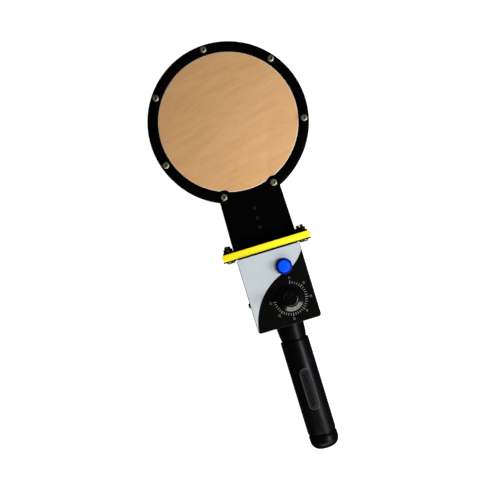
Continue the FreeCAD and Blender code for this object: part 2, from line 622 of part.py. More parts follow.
def make_knob():
    """Skirted knob on the potentiometer's shaft, hollow underneath to clear the nut."""
    at = V(KNOB_AT[0], y(KNOB_OUT), 0)
    low = BOX_D + KNOB_GAP
    top = low + KNOB_H
    recess_r, recess_top, flute_r = 7.4, low + 4.4, 1.6
    outline = [(0, top), (KNOB_GRIP_R - 1.2, top), (KNOB_GRIP_R - 0.5, top - 0.7),
               (KNOB_GRIP_R, low + 5.2), (KNOB_GRIP_R + 0.9, low + 4.6), (KNOB_SKIRT_R, low + 1.4),
               (KNOB_SKIRT_R, low), (recess_r, low), (recess_r, recess_top), (0, recess_top)]
    knob = turned(outline, at, UP)
    ring_r = KNOB_GRIP_R + 0.75 * flute_r
    flutes = [rod(V(at.x + ring_r * math.cos(a), at.y + ring_r * math.sin(a), low + 6), flute_r, 10)
              for a in [math.radians(20 * n) for n in range(18)]]
    knob = knob.cut(flutes)
    knob = knob.cut(rod(V(at.x, at.y, low), SHAFT_R + SLACK, KNOB_H - 2.5))
    turn = math.radians(90 - KNOB_REST_ANGLE)
    way = V(math.cos(turn), math.sin(turn), 0)
    boss_z = recess_top + 3.5
    grub = rod(V(at.x, at.y, boss_z) + way * SHAFT_R, 1.5, 9, way)
    line = Part.makeBox(KNOB_SKIRT_R - 9.5, 0.9, 4, V(9.5, -0.45, low + 1.0))
    line.rotate(V(0, 0, 0), UP, 90 - KNOB_REST_ANGLE)
    line.translate(V(at.x, at.y, 0))
    nodes["knob_pointer"] = knob.common(line)
    nodes["knob"] = knob.cut([line, grub])
    screw = rod(V(0, 0, 0), 1.45, 4.5).cut(placed(hexagon(1.5, 2), V(0, 0, 3), UP))
    nodes["knob_grub_screw"] = placed(screw, V(at.x, at.y, boss_z) + way * SHAFT_R, way)
    return at, top


def potentiometer_tag_places(height):
    """Places of the three solder tags, at the side of the potentiometer towards the head."""
    return [V(KNOB_AT[0] + step, y(KNOB_OUT - POT_R - 2.5), height) for step in (-4, 0, 4)]


def make_potentiometer():
    """Threaded bush with its housing, the turning shaft, the nut and the solder tags."""
    at, knob_top = make_knob()
    bore, housing_top = SHAFT_R + SLACK, COVER_Z - 1.0
    bush = [(bore, POT_LOW + 4), (POT_R, POT_LOW + 4), (POT_R, housing_top),
            (BUSH_R, housing_top), (BUSH_R, BOX_D + 4.5), (bore, BOX_D + 4.5)]
    cup = [(0, POT_LOW), (POT_R, POT_LOW), (POT_R, POT_LOW + 3.9), (0, POT_LOW + 3.9)]
    tags = [Part.makeBox(2, 5, 0.8, place - V(1, 3.6, 0))
            for place in potentiometer_tag_places(POT_TAG_Z)]
    housing = [turned(bush, at, UP).cut(tags), turned(cup, at, UP)]
    nodes["potentiometer_body"] = Part.makeCompound(housing)
    shaft_low = POT_LOW + 4.2
    shaft = rod(V(at.x, at.y, shaft_low), SHAFT_R, knob_top - 2.6 - shaft_low)
    nodes["potentiometer_shaft"] = shaft
    ring = hexagon(11.0, 2.4).cut(rod(V(0, 0, 0), BUSH_R + SLACK, 2.4))
    nodes["potentiometer_nut"] = placed(ring, V(at.x, at.y, BOX_D), UP)
    return tags


def make_button():
    """Sprung push button: rim and barrel through the panel, switch body hung below it."""
    at = V(BUTTON_AT[0], y(BUTTON_OUT), 0)
    rim_top = BOX_D + BUTTON_RIM_H
    rim = [(BUTTON_BORE_R, BARREL_LOW), (BARREL_R, BARREL_LOW), (BARREL_R, BOX_D),
           (BUTTON_RIM_R, BOX_D), (BUTTON_RIM_R, rim_top - 0.8), (BUTTON_RIM_R - 0.8, rim_top),
           (BUTTON_BORE_R, rim_top)]
    nodes["button_rim"] = turned(rim, at, UP)
    ring = hexagon(20.0, 2.4).cut(rod(V(0, 0, 0), BARREL_R + SLACK, 2.4))
    nodes["button_nut"] = placed(ring, V(at.x, at.y, COVER_Z - 2.4), UP)
    low, deck, chamber_r = SWITCH_LOW, 30.5, 6.2
    body = [(0, low), (BARREL_R, low), (BARREL_R, BARREL_LOW), (1.75, BARREL_LOW),
            (1.75, deck), (chamber_r, deck), (chamber_r, low + 1.5), (0, low + 1.5)]
    nodes["switch_body"] = turned(body, at, UP)
    cap_top = rim_top + BUTTON_CAP_PROUD
    cap_low, cup_top = 39.0, cap_top - 1.8
    cap = [(0, cap_top), (BUTTON_CAP_R - 0.5, cap_top), (BUTTON_CAP_R, cap_top - 0.5),
           (BUTTON_CAP_R, cap_low), (4.9, cap_low), (4.9, cup_top), (0, cup_top)]
    nodes["button_cap"] = turned(cap, at, UP)
    bridge_top = deck - 0.3
    stem = [(0, cup_top), (1.4, cup_top), (1.4, bridge_top), (4.5, bridge_top),
            (4.5, bridge_top - 1), (0, bridge_top - 1)]
    nodes["button_stem"] = turned(stem, at, UP)
    nodes["button_spring"] = make_spring(at, BARREL_LOW + 0.3, cup_top - 0.3)
    pin = Part.makeBox(1.6, 0.6, SWITCH_TAG_L, V(-0.8, -0.3, -SWITCH_TAG_L))
    return [placed(pin, place, UP) for place in switch_tag_places(low)]


def switch_tag_places(height):
    return [V(BUTTON_AT[0] + side * 2.5, y(BUTTON_OUT), height) for side in (-1, 1)]


def make_wiring(tags):
    """Solder tags, and the wires from them and from the battery's snap to the board."""
    nodes["solder_tags"] = Part.makeCompound(tags)
    wires = [rod(at, WIRE_R, POT_TAG_Z - BOARD_TOP) for at in potentiometer_tag_places(BOARD_TOP)]
    switch_wire_l = SWITCH_LOW - SWITCH_TAG_L - BOARD_TOP
    wires += [rod(at, WIRE_R, switch_wire_l) for at in switch_tag_places(BOARD_TOP)]
    wires += [rod(at, WIRE_R, BATTERY_WIRE_L, RIGHT) for at in battery_wire_places()]
    nodes["inner_wires"] = Part.makeCompound(wires)


def make_spring(at, low, high):
    """Open coil spring round the stem, of square wire."""
    half, coil_r, turns = 0.35, 3.4, 6
    height = high - low - 2 * half
    path = Part.makeHelix(height / turns, height, coil_r)
    corners = [V(coil_r + r * half, 0, z * half) for r, z in ((-1, -1), (1, -1), (1, 1), (-1, 1))]
    section = Part.makePolygon(corners + corners[:1])
    coil = Part.Wire(path.Edges).makePipeShell([section], True, True)
    coil.translate(V(at.x, at.y, low + half))
    return coil


# --- Grip --------------------------------------------------------------------------------------

def grip_axis(out):
    return V(0, y(out), MID_Z)


def stadium(width, length, out, low, high):
    """Upright prism with straight sides and round ends, long way along the grip."""
    reach = (length - width) / 2
    middle = block((-width / 2, width / 2), (out - reach, out + reach), (low, high))
    ends = [rod(V(0, y(out + side * reach), low), width / 2, high - low) for side in (-1, 1)]
    return middle.fuse(ends).removeSplitter()


def make_grip():
    bore = HANDLE_TUBE_R + SLACK
    collar = [(bore, 0), (COLLAR_R, 0), (COLLAR_R, 2.2), (COLLAR_WAIST_R, COLLAR_LENGTH - 1.5),
              (COLLAR_WAIST_R, COLLAR_LENGTH), (bore, COLLAR_LENGTH)]
    nodes["handle_collar"] = turned(collar, grip_axis(BOX_END_OUT), TO_GRIP)
    sleeve = [(bore, 0), (GRIP_R - 1, 0), (GRIP_R, 1), (GRIP_R, GRIP_LENGTH - 0.5),
              (GRIP_R - 0.5, GRIP_LENGTH), (bore, GRIP_LENGTH)]
    sleeve = turned(sleeve, grip_axis(GRIP_OUT), TO_GRIP)
    recess = stadium(BADGE_W, BADGE_L, BADGE_OUT, MID_Z, BOX_D)
    floor_r, rim_r = GRIP_R - 1.2, GRIP_R + 0.45
    length = BADGE_L + 10
    start = grip_axis(BADGE_OUT - length / 2)
    recess_shell = tube(start, GRIP_R + 5, floor_r, length, TO_GRIP)
    nodes["grip_sleeve"] = sleeve.cut(recess.common(recess_shell))
    badge = stadium(BADGE_W - 0.2, BADGE_L - 0.2, BADGE_OUT, MID_Z, BOX_D)
    badge = badge.common(tube(start, rim_r, floor_r + SLACK, length, TO_GRIP))
    well = stadium(BADGE_W - 2.6, BADGE_L - 2.6, BADGE_OUT, MID_Z, BOX_D)
    nodes["grip_badge"] = badge.cut(well.common(tube(start, GRIP_R + 5, GRIP_R - 0.4, length, TO_GRIP)))
    make_end_cap()
    make_handle_core()


def make_end_cap():
    """Moulded cap: groove against the grip, short barrel, rounded end, plug into the tube."""
    groove_r, barrel_r, plug_r = GRIP_R - 0.6, GRIP_R + 0.05, HANDLE_TUBE_R - HANDLE_TUBE_WALL
    groove, barrel_end, shoulder, tube_in = 2.6, 9.5, END_CAP_LENGTH - 0.9, 5.2

    def at(radius, height):
        return V(radius, 0, height)
    dome = Part.Arc(at(barrel_r, barrel_end), at(13.6, 15.6), at(8.0, shoulder)).toShape()
    corners = [at(8.0, shoulder), at(0, END_CAP_LENGTH), at(0, -10), at(plug_r - SLACK, -10),
               at(plug_r - SLACK, tube_in), at(HANDLE_TUBE_R + SLACK, tube_in),
               at(HANDLE_TUBE_R + SLACK, 0), at(groove_r, 0), at(groove_r, groove),
               at(barrel_r, groove + 0.6), at(barrel_r, barrel_end)]
    lines = [Part.makeLine(a, b) for a, b in zip(corners, corners[1:])]
    cap = Part.Face(Part.Wire([dome] + lines)).revolve(V(0, 0, 0), UP, 360)
    nodes["end_cap"] = placed(cap, grip_axis(END_CAP_OUT), TO_GRIP)


def make_handle_core():
    """Steel tube under the grip, held to the box by a bolt into a plug in the tube's end."""
    length = END_CAP_OUT + 5.0 - BOX_END_OUT
    inner_r = HANDLE_TUBE_R - HANDLE_TUBE_WALL
    nodes["handle_tube"] = tube(grip_axis(BOX_END_OUT), HANDLE_TUBE_R, inner_r, length, TO_GRIP)
    plug = tube(grip_axis(BOX_END_OUT), inner_r - SLACK, M8 / 2 + SLACK, 30, TO_GRIP)
    nodes["handle_plug"] = plug
    thick = 1.6
    wash = tube(V(0, 0, 0), 8.0, M8 / 2 + 0.2, thick)
    nodes["handle_washer"] = placed(wash, grip_axis(BOX_IN[1]), TO_HEAD)
    nodes["handle_bolt"] = placed(hex_bolt(M8, 28), grip_axis(BOX_IN[1] - thick), TO_HEAD)


def main():
    os.makedirs("parts", exist_ok=True)
    make_head()
    make_bolted_joint()
    make_box()
    make_wiring(make_potentiometer() + make_button())
    make_grip()
    for node, shape in nodes.items():
        shape.exportStep(f"parts/{node}.step")
        print(node, len(shape.Solids), shape.isValid(), round(shape.Volume, 1))


main()
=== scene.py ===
import math

import bmesh
import bpy
from mathutils import Matrix, Vector


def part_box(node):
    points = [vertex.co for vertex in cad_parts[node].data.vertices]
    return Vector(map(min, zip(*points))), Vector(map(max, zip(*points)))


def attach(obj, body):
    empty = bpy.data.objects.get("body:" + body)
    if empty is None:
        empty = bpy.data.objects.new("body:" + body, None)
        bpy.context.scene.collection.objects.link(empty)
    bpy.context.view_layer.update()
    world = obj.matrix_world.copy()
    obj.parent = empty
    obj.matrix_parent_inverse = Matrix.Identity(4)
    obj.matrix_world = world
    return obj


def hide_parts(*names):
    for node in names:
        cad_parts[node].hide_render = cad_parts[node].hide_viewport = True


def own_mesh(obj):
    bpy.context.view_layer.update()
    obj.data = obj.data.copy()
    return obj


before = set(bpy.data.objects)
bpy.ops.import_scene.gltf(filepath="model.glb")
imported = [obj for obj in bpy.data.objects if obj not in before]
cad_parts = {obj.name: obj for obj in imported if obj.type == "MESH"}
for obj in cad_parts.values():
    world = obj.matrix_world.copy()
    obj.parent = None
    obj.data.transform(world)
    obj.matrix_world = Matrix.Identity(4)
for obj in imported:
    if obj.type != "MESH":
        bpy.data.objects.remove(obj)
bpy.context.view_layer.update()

# --- Camera, light and floor -------------------------------------------------------------------
# The detector lies on its back on a pale floor. The camera looks straight down, turned a little,
# and the main soft light stands low beyond the grip, on the side of the knob.
MM = 0.001
VIEW_TURN = math.radians(-16.9)
CAMERA_OVER = (-18.2, 0.1)
CAMERA_HEIGHT = 850.0
VIEW_WIDTH = 556.0
VIEW_PLANE = 20.0
SENSOR = 36.0


def colour(code):
    """Linear colour of an sRGB hex code."""
    parts = [int(code[n:n + 2], 16) / 255 for n in (1, 3, 5)]
    linear = [p / 12.92 if p <= 0.04045 else ((p + 0.055) / 1.055) ** 2.4 for p in parts]
    return (*linear, 1.0)


def add(tree, kind, inputs=None):
    """Adds a shader node. A value among its inputs is set, and a socket is linked."""
    node = tree.nodes.new("ShaderNode" + kind)
    for name, value in (inputs or {}).items():
        if isinstance(value, bpy.types.NodeSocket):
            tree.links.new(value, node.inputs[name])
        else:
            node.inputs[name].default_value = value
    return node


def start_material(name, **surface):
    """New material: returns it, its tree, its shader and the Object coordinates."""
    made = bpy.data.materials.new(name)
    made.use_nodes = True
    tree = made.node_tree
    shader = tree.nodes["Principled BSDF"]
    for socket, value in surface.items():
        shader.inputs[socket.replace("_", " ")].default_value = value
    return made, tree, shader, add(tree, "TexCoord").outputs["Object"]


def shown(obj):
    """Puts an object into the scene."""
    bpy.context.scene.collection.objects.link(obj)
    return obj


def verts_in(geometry):
    """The vertices among what an operator made."""
    return [part for part in geometry if isinstance(part, bmesh.types.BMVert)]


def area_light(name, place, size, watts, tint="#FFFFFF", mirrored=True):
    """Soft light, of a width and a height, that faces the middle of the detector."""
    lamp = bpy.data.lights.new(name, "AREA")
    lamp.shape = "RECTANGLE"
    lamp.size, lamp.size_y = size[0] * MM, size[1] * MM
    lamp.energy = watts
    lamp.color = colour(tint)[:3]
    obj = shown(bpy.data.objects.new(name, lamp))
    obj.location = Vector(place) * MM
    obj.rotation_euler = (-obj.location).to_track_quat("-Z", "Y").to_euler()
    obj.visible_glossy = mirrored


camera = shown(bpy.data.objects.new("camera", bpy.data.cameras.new("camera")))
camera.data.sensor_width = SENSOR
camera.data.lens = SENSOR * CAMERA_HEIGHT / VIEW_WIDTH
camera.location = Vector((*CAMERA_OVER, VIEW_PLANE + CAMERA_HEIGHT)) * MM
camera.rotation_euler = (0, 0, VIEW_TURN)
bpy.context.scene.camera = camera
bpy.context.scene.view_settings.view_transform = "Standard"

area_light("key_light", (150, -1110, 600), (1900, 330), 15, "#FFF6E2")
area_light("strip_light", (800, -440, 1070), (520, 230), 10.5, "#EEF3FF")
area_light("side_light", (1000, -340, 540), (350, 350), 11.5, mirrored=False)
area_light("fill_light", (-900, 900, 1300), (1000, 1000), 5, mirrored=False)
world = bpy.data.worlds.new("studio")
world.use_nodes = True
world.node_tree.nodes["Background"].inputs["Color"].default_value = colour("#F2F5FA")
world.node_tree.nodes["Background"].inputs["Strength"].default_value = 0.04
bpy.context.scene.world = world

FLOOR_SIZE, FLOOR_DROP = 6000.0, 0.1
floor_bm = bmesh.new()
bmesh.ops.create_grid(floor_bm, x_segments=1, y_segments=1, size=FLOOR_SIZE / 2 * MM)
bmesh.ops.translate(floor_bm, verts=floor_bm.verts, vec=(0, 0, -FLOOR_DROP * MM))
floor_mesh = bpy.data.meshes.new("floor")
floor_bm.to_mesh(floor_mesh)
floor_bm.free()
floor = shown(bpy.data.objects.new("floor", floor_mesh))
paper, paper_tree, paper_shader, paper_at = start_material("lit_matt_paper", Roughness=0.95,
                                                           Emission_Strength=1.0)
paper_shader.inputs["Emission Color"].default_value = colour("#FFFFFF")
paper_noise = add(paper_tree, "TexNoise", {"Vector": paper_at, "Scale": 3.0})
paper_mix = add(paper_tree, "MixRGB", {"Fac": paper_noise.outputs["Fac"],
                                       "Color1": colour("#A2A2A1"), "Color2": colour("#A8A8A8")})
paper_tree.links.new(paper_mix.outputs["Color"], paper_shader.inputs["Base Color"])
floor_mesh.materials.append(paper)
# The floor lights nothing by mirror reflection, so the blacks stay deep on their sides.
floor.visible_glossy = False

# The same paper hangs all round as a backdrop, which lights nothing.
WALL_R, WALL_HEIGHT = 2900.0, 5000.0
wall_bm = bmesh.new()
bmesh.ops.create_circle(wall_bm, segments=96, radius=WALL_R * MM)
raised = bmesh.ops.extrude_edge_only(wall_bm, edges=wall_bm.edges)["geom"]
bmesh.ops.translate(wall_bm, verts=verts_in(raised), vec=(0, 0, WALL_HEIGHT * MM))
bmesh.ops.reverse_faces(wall_bm, faces=wall_bm.faces)
wall_mesh = bpy.data.meshes.new("backdrop")
wall_bm.to_mesh(wall_mesh)
wall_bm.free()
wall_mesh.materials.append(paper)
wall = shown(bpy.data.objects.new("backdrop", wall_mesh))
wall.visible_glossy = wall.visible_diffuse = wall.visible_shadow = False

# --- Head frame --------------------------------------------------------------------------------
# Ring and neck plate in one piece, routed from black acetal sheet. The opening has two rounded
# lobes that give the neck's screws room, and every edge is broken with a small radius.
SCREW_PITCH_R = 84.5
NECK_SCREW_TURN = math.radians(20)
OPENING_R = 78.3
LOBE_R = 8.2
HEAD_STEPS = 472
SAME_PLACE = 1e-4
CLEAR_ANGLE, SHADED_SHARP = math.radians(30), math.radians(35)


def cad(node):
    """Lowest and highest corners of a CAD node, in millimetres."""
    low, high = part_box(node)
    return low / MM, high / MM


def loft(rings, steps, centre=(0, 0), closed=False):
    """Skin through level rings of (radius, height); a radius may depend on the turn from -Y.

    A closed skin joins its last ring to its first. An open one has a flat cap at each end.
    """
    bm = bmesh.new()
    loops = []
    for radius, height in rings:
        verts = bmesh.ops.create_circle(bm, segments=steps, radius=1.0)["verts"]
        for vert in verts:
            turn = math.atan2(vert.co.x, -vert.co.y)
            reach = radius(turn) if callable(radius) else radius
            vert.co = (centre[0] + reach * math.sin(turn), centre[1] - reach * math.cos(turn),
                       height)
        own = set(verts)
        loops.append([edge for edge in bm.edges if own.issuperset(edge.verts)])
    pairs = list(zip(loops, loops[1:]))
    if closed:
        pairs.append((loops[-1], loops[0]))
    else:
        for cap in (loops[0], loops[-1]):
            bmesh.ops.contextual_create(bm, geom=cap)
    for lower, upper in pairs:
        bmesh.ops.bridge_loops(bm, edges=lower + upper)
    bmesh.ops.remove_doubles(bm, verts=bm.verts, dist=SAME_PLACE)
    bmesh.ops.recalc_face_normals(bm, faces=bm.faces)
    return bm


def soften(bm, width, segments=2):
    """Rounds every edge whose two faces meet at a clear angle."""
    edges = [edge for edge in bm.edges
             if len(edge.link_faces) == 2 and edge.calc_face_angle() > CLEAR_ANGLE]
    bmesh.ops.bevel(bm, geom=edges, offset=width, affect="EDGES", segments=segments, profile=0.5,
                    material=-1, clamp_overlap=True)
    return bm


def piece(name, bm, materials, replaces=(), body="detector"):
    """Makes a finished shape in millimetres into an object that rides on its body."""
    bmesh.ops.remove_doubles(bm, verts=bm.verts, dist=SAME_PLACE)
    bmesh.ops.recalc_face_normals(bm, faces=bm.faces)
    bmesh.ops.scale(bm, vec=(MM, MM, MM), verts=bm.verts)
    mesh = bpy.data.meshes.new(name)
    bm.to_mesh(mesh)
    bm.free()
    for polygon in mesh.polygons:
        polygon.use_smooth = True
    mesh.set_sharp_from_angle(angle=SHADED_SHARP)
    for finish in materials:
        mesh.materials.append(finish)
    obj = shown(bpy.data.objects.new(name, mesh))
    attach(obj, body)
    if replaces:
        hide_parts(*replaces)
    return obj


def pull_neck(bm, end_y):
    """Pulls the head's outer wall between the neck's sides out to the neck's end, flaring a bit."""
    def on_neck(face):
        middle = face.calc_center_median()
        upright = abs(face.normal.z) < 0.1
        outer = math.hypot(middle.x, middle.y - HEAD_Y) > HEAD_R - 1
        return upright and outer and middle.y < HEAD_Y and abs(middle.x) < NECK_HALF
    walls = [face for face in bm.faces if on_neck(face)]
    for vert in verts_in(bmesh.ops.extrude_face_region(bm, geom=walls)["geom"]):
        vert.co.x *= NECK_FLARE
        vert.co.y = end_y
    bmesh.ops.delete(bm, geom=walls, context="FACES")


def opening_radius(gap):
    """Radius of the frame's opening at a turn, less a gap, pushed in by the lobes."""
    def at(turn):
        reach = OPENING_R
        for lobe in (-NECK_SCREW_TURN, NECK_SCREW_TURN):
            aside = SCREW_PITCH_R * math.sin(turn - lobe)
            if abs(aside) < LOBE_R and math.cos(turn - lobe) > 0:
                along = SCREW_PITCH_R * math.cos(turn - lobe)
                reach = min(reach, along - math.sqrt(LOBE_R ** 2 - aside ** 2))
        return reach - gap
    return at


def moulded(name, light, dark, roughness, grain_mm=0.5, relief_mm=0.01, patch_mm=30.0,
            **surface):
    """Moulded or machined plastic: faint patches of tone and shine over a fine even grain."""
    made, tree, shader, at = start_material(name, **surface)
    patches = add(tree, "TexNoise", {"Vector": at, "Scale": 1 / (patch_mm * MM), "Detail": 3.0})
    tone = add(tree, "MixRGB", {"Fac": patches.outputs["Fac"], "Color1": colour(dark),
                                "Color2": colour(light)})
    tree.links.new(tone.outputs["Color"], shader.inputs["Base Color"])
    grain = add(tree, "TexNoise", {"Vector": at, "Scale": 1 / (grain_mm * MM), "Detail": 2.0})
    shine = add(tree, "MapRange", {"Value": patches.outputs["Fac"], "To Min": roughness - 0.05,
                                   "To Max": roughness + 0.07})
    tree.links.new(shine.outputs["Result"], shader.inputs["Roughness"])
    bump = add(tree, "Bump", {"Height": grain.outputs["Fac"], "Strength": 0.6,
                              "Distance": relief_mm * MM})
    tree.links.new(bump.outputs["Normal"], shader.inputs["Normal"])
    return made


# Acetal: dense black plastic with a low sheen, its face left as sawn and wiped.
black_acetal = moulded("machined_black_acetal", "#020202", "#010101", 0.34,
                      Specular_IOR_Level=0.06)

frame_low, frame_high = cad("head_frame")
HEAD_R = (frame_high.x - frame_low.x) / 2
HEAD_Y = frame_high.y - HEAD_R
NECK_HALF = 34.6
NECK_FLARE = 36.0 / NECK_HALF
frame_rings = [(HEAD_R, frame_low.z), (HEAD_R, frame_high.z),
               (opening_radius(0), frame_high.z), (opening_radius(0), frame_low.z)]
frame_bm = loft(frame_rings, HEAD_STEPS, (0, HEAD_Y), closed=True)
pull_neck(frame_bm, frame_low.y)
piece("head_frame", soften(frame_bm, 0.45), [black_acetal], ["head_frame"])

# --- Coil tray ---------------------------------------------------------------------------------
# Back shell of the head and underside of the neck, milled from the same black acetal, with a
# pocket for the coils and a seat for the disc.
tray_low, tray_high = cad("coil_tray")
POCKET_R, SEAT_R, SEAT_Z, TRAY_FLOOR = 77.0, 80.5, 14.0, 2.5
tray_rings = [(HEAD_R, tray_low.z), (HEAD_R, tray_high.z), (SEAT_R, tray_high.z),
              (SEAT_R, SEAT_Z), (POCKET_R, SEAT_Z), (POCKET_R, TRAY_FLOOR)]
tray_bm = loft(tray_rings, HEAD_STEPS, (0, HEAD_Y))
pull_neck(tray_bm, tray_low.y)
piece("coil_tray", soften(tray_bm, 0.5), [black_acetal], ["coil_tray"])

# --- Face disc ---------------------------------------------------------------------------------
# Sensing face, turned from fine sealed plywood. Its rim is clamped under the frame, its middle
# stands just proud, and the broken edge shows paler wood.


def sealed_ply(name, pale, mid, dark, pore, blush):
    """Rotary-cut face veneer under matt sealer: faint slanting bands, blotches and dark flecks."""
    made, tree, shader, at = start_material(name, Roughness=0.6, Specular_IOR_Level=0.3)
    turned = add(tree, "Mapping", {"Vector": at, "Rotation": (0, 0, math.radians(-13))})
    along = add(tree, "Mapping", {"Vector": turned.outputs["Vector"], "Scale": (0.16, 1.0, 1.0)})
    bands = add(tree, "TexNoise", {"Vector": along.outputs["Vector"], "Scale": 1 / (10 * MM),
                                   "Detail": 4.0, "Roughness": 0.55, "Distortion": 1.2})
    ramp = add(tree, "ValToRGB", {"Fac": bands.outputs["Fac"]})
    stops = ramp.color_ramp.elements
    stops[0].position, stops[0].color = 0.36, colour(dark)
    stops[1].position, stops[1].color = 0.64, colour(pale)
    stops.new(0.5).color = colour(mid)
    patches = add(tree, "TexNoise", {"Vector": at, "Scale": 1 / (34 * MM), "Detail": 3.0})
    amount = add(tree, "MapRange", {"Value": patches.outputs["Fac"], "From Min": 0.45,
                                    "From Max": 0.7, "To Max": 0.4})
    blotch = add(tree, "MixRGB", {"Fac": amount.outputs["Result"],
                                  "Color1": ramp.outputs["Color"], "Color2": colour(blush)})
    short = add(tree, "Mapping", {"Vector": turned.outputs["Vector"], "Scale": (0.4, 1.0, 1.0)})
    pores = add(tree, "TexNoise", {"Vector": short.outputs["Vector"], "Scale": 1 / (1.8 * MM),
                                   "Detail": 2.0})
    fleck = add(tree, "MapRange", {"Value": pores.outputs["Fac"], "From Min": 0.64,
                                   "From Max": 0.76, "To Max": 0.45})
    wood = add(tree, "MixRGB", {"Fac": fleck.outputs["Result"],
                                "Color1": blotch.outputs["Color"], "Color2": colour(pore)})
    tree.links.new(wood.outputs["Color"], shader.inputs["Base Color"])
    bump = add(tree, "Bump", {"Height": pores.outputs["Fac"], "Strength": 0.25,
                              "Distance": 0.02 * MM})
    tree.links.new(bump.outputs["Normal"], shader.inputs["Normal"])
    return made


ply_face = sealed_ply("sealed_plywood", "#CCA06D", "#C89C69", "#C39764", "#9A7147", "#C99B71")
ply_edge = moulded("cut_plywood_edge", "#DACABA", "#CDBBA8", 0.6, grain_mm=0.3)
disc_low, disc_high = cad("face_disc")
DISC_RIM_R, DISC_GAP, DISC_EDGE = 80.3, 0.3, 0.7
disc_rings = [(DISC_RIM_R, disc_low.z), (DISC_RIM_R, frame_low.z),
              (opening_radius(DISC_GAP), frame_low.z), (opening_radius(DISC_GAP), disc_high.z)]
disc_bm = soften(loft(disc_rings, HEAD_STEPS, (0, HEAD_Y)), DISC_EDGE, 3)
for face in disc_bm.faces:
    above = face.calc_center_median().z > disc_high.z - DISC_EDGE
    face.material_index = 1 if above and face.normal.z < 0.99 else 0
piece("face_disc", disc_bm, [ply_face, ply_edge], ["face_disc"])

# --- Ring screws -------------------------------------------------------------------------------
# M4 socket-head cap screws, yellow zinc plated, with a knurled head and a hexagon socket. Two sit
# on the neck's lobes and five are spread round the ring. Three small flat-head screws are in line
# on the neck.
OUTER_SCREW_MIDDLE, OUTER_SCREW_STEP = 182.2, 53.1
RING_SCREW_SIZE = 4.0
NECK_SCREW_SIZE, NECK_SCREW_LENGTH, NECK_SCREW_PROUD = 2.0, 6.0, 0.02
NECK_SCREWS_OUT = (100.5, 111.5, 122.0)


def place_bm(bm, at, direction=(0, 0, 1)):
    """Turns a shape made along +Z so that it points along a direction, and moves it to a place."""
    turn = Vector(direction).to_track_quat("Z", "Y").to_matrix().to_4x4()
    bmesh.ops.transform(bm, matrix=Matrix.Translation(at) @ turn, verts=bm.verts)
    return bm


def join(shapes):
    """All the shapes in one."""
    whole = bmesh.new()
    for shape in shapes:
        mesh = bpy.data.meshes.new("part")
        shape.to_mesh(mesh)
        shape.free()
        whole.from_mesh(mesh)
        bpy.data.meshes.remove(mesh)
    return whole


def hexagon(across_flats):
    """Radius of a hexagon at a turn."""
    sixth = math.radians(60)
    return lambda turn: across_flats / 2 / math.cos(turn % sixth - sixth / 2)


def cross(half_width, half_length):
    """Radius of a cross slot at a turn."""
    def at(turn):
        quarter = math.radians(90)
        aside = abs((turn + quarter / 2) % quarter - quarter / 2)
        end = half_length / math.cos(aside)
        return end if math.tan(aside) * half_length < half_width else half_width / math.sin(aside)
    return at


def knurl(radius, depth, count):
    """Radius of a knurled side at a turn."""
    return lambda turn: radius + depth * math.cos(count * turn)


def socket_head(size):
    """Head of a socket cap screw, standing on Z = 0, with the shank just under it."""
    head_r = 0.92 * size
    side = knurl(head_r - 0.06, 0.06, 24)
    rings = [(size / 2, -size), (size / 2, 0), (head_r - 0.2, 0), (side, 0.2),
             (side, 0.8 * size), (0.88 * size, 0.87 * size), (0.80 * size, 0.945 * size),
             (0.70 * size, 0.985 * size), (0.58 * size, size), (hexagon(0.78 * size), size),
             (hexagon(0.74 * size), 0.96 * size), (hexagon(0.74 * size), 0.45 * size),
             (0, 0.30 * size)]
    bm = loft(rings, 96)
    for face in bm.faces:
        middle = face.calc_center_median()
        # Faces down in the socket take the second material, the painted shade.
        inside = math.hypot(middle.x, middle.y) < 0.4 * size and middle.z > 0.2 * size
        face.material_index = 1 if inside else 0
    return bm


def flat_head(size, depth):
    """Flush countersunk head with a cross slot, its top at Z = 0."""
    head_r = 0.92 * size
    rings = [(0, -depth), (size / 2, -depth), (size / 2, -0.5 * size), (head_r, -0.05),
             (head_r - 0.05, 0), (cross(0.11 * size, 0.5 * size), 0),
             (cross(0.09 * size, 0.45 * size), -0.3 * size), (0, -0.35 * size)]
    return loft(rings, 72)


def plated(name, light, dark, roughness, wear_mm=1.5):
    """Plated or bare metal: slow cloudiness in tone and shine, and fine handling marks."""
    made, tree, shader, at = start_material(name, Metallic=1.0)
    cloud = add(tree, "TexNoise", {"Vector": at, "Scale": 1 / (wear_mm * MM), "Detail": 4.0})
    tone = add(tree, "MixRGB", {"Fac": cloud.outputs["Fac"], "Color1": colour(dark),
                                "Color2": colour(light)})
    tree.links.new(tone.outputs["Color"], shader.inputs["Base Color"])
    shine = add(tree, "MapRange", {"Value": cloud.outputs["Fac"], "To Min": roughness - 0.08,
                                   "To Max": roughness + 0.12})
    tree.links.new(shine.outputs["Result"], shader.inputs["Roughness"])
    marks = add(tree, "TexNoise", {"Vector": at, "Scale": 1 / (0.15 * MM), "Detail": 1.0})
    bump = add(tree, "Bump", {"Height": marks.outputs["Fac"], "Strength": 0.3,
                              "Distance": 0.01 * MM})
    tree.links.new(bump.outputs["Normal"], shader.inputs["Normal"])
    return made


# Zinc plating passivated yellow: a pale brassy green-gold, dull rather than bright.
yellow_zinc = plated("yellow_zinc_plating", "#DEDCC0", "#B2AE88", 0.4)
# Inside the sockets the zinc is coloured dark olive as painted shade, where little light gets in.
socket_painted_shade_zinc = plated("zinc_with_painted_socket_shade", "#A8A67A", "#77754E", 0.6)
bright_steel = plated("bright_zinc_steel", "#C9CACC", "#A6A8AB", 0.35)
# The neck's screws are blacked steel with the colour worn off the high spots.
worn_steel = plated("worn_blacked_steel", "#4C4D50", "#2F3032", 0.45)

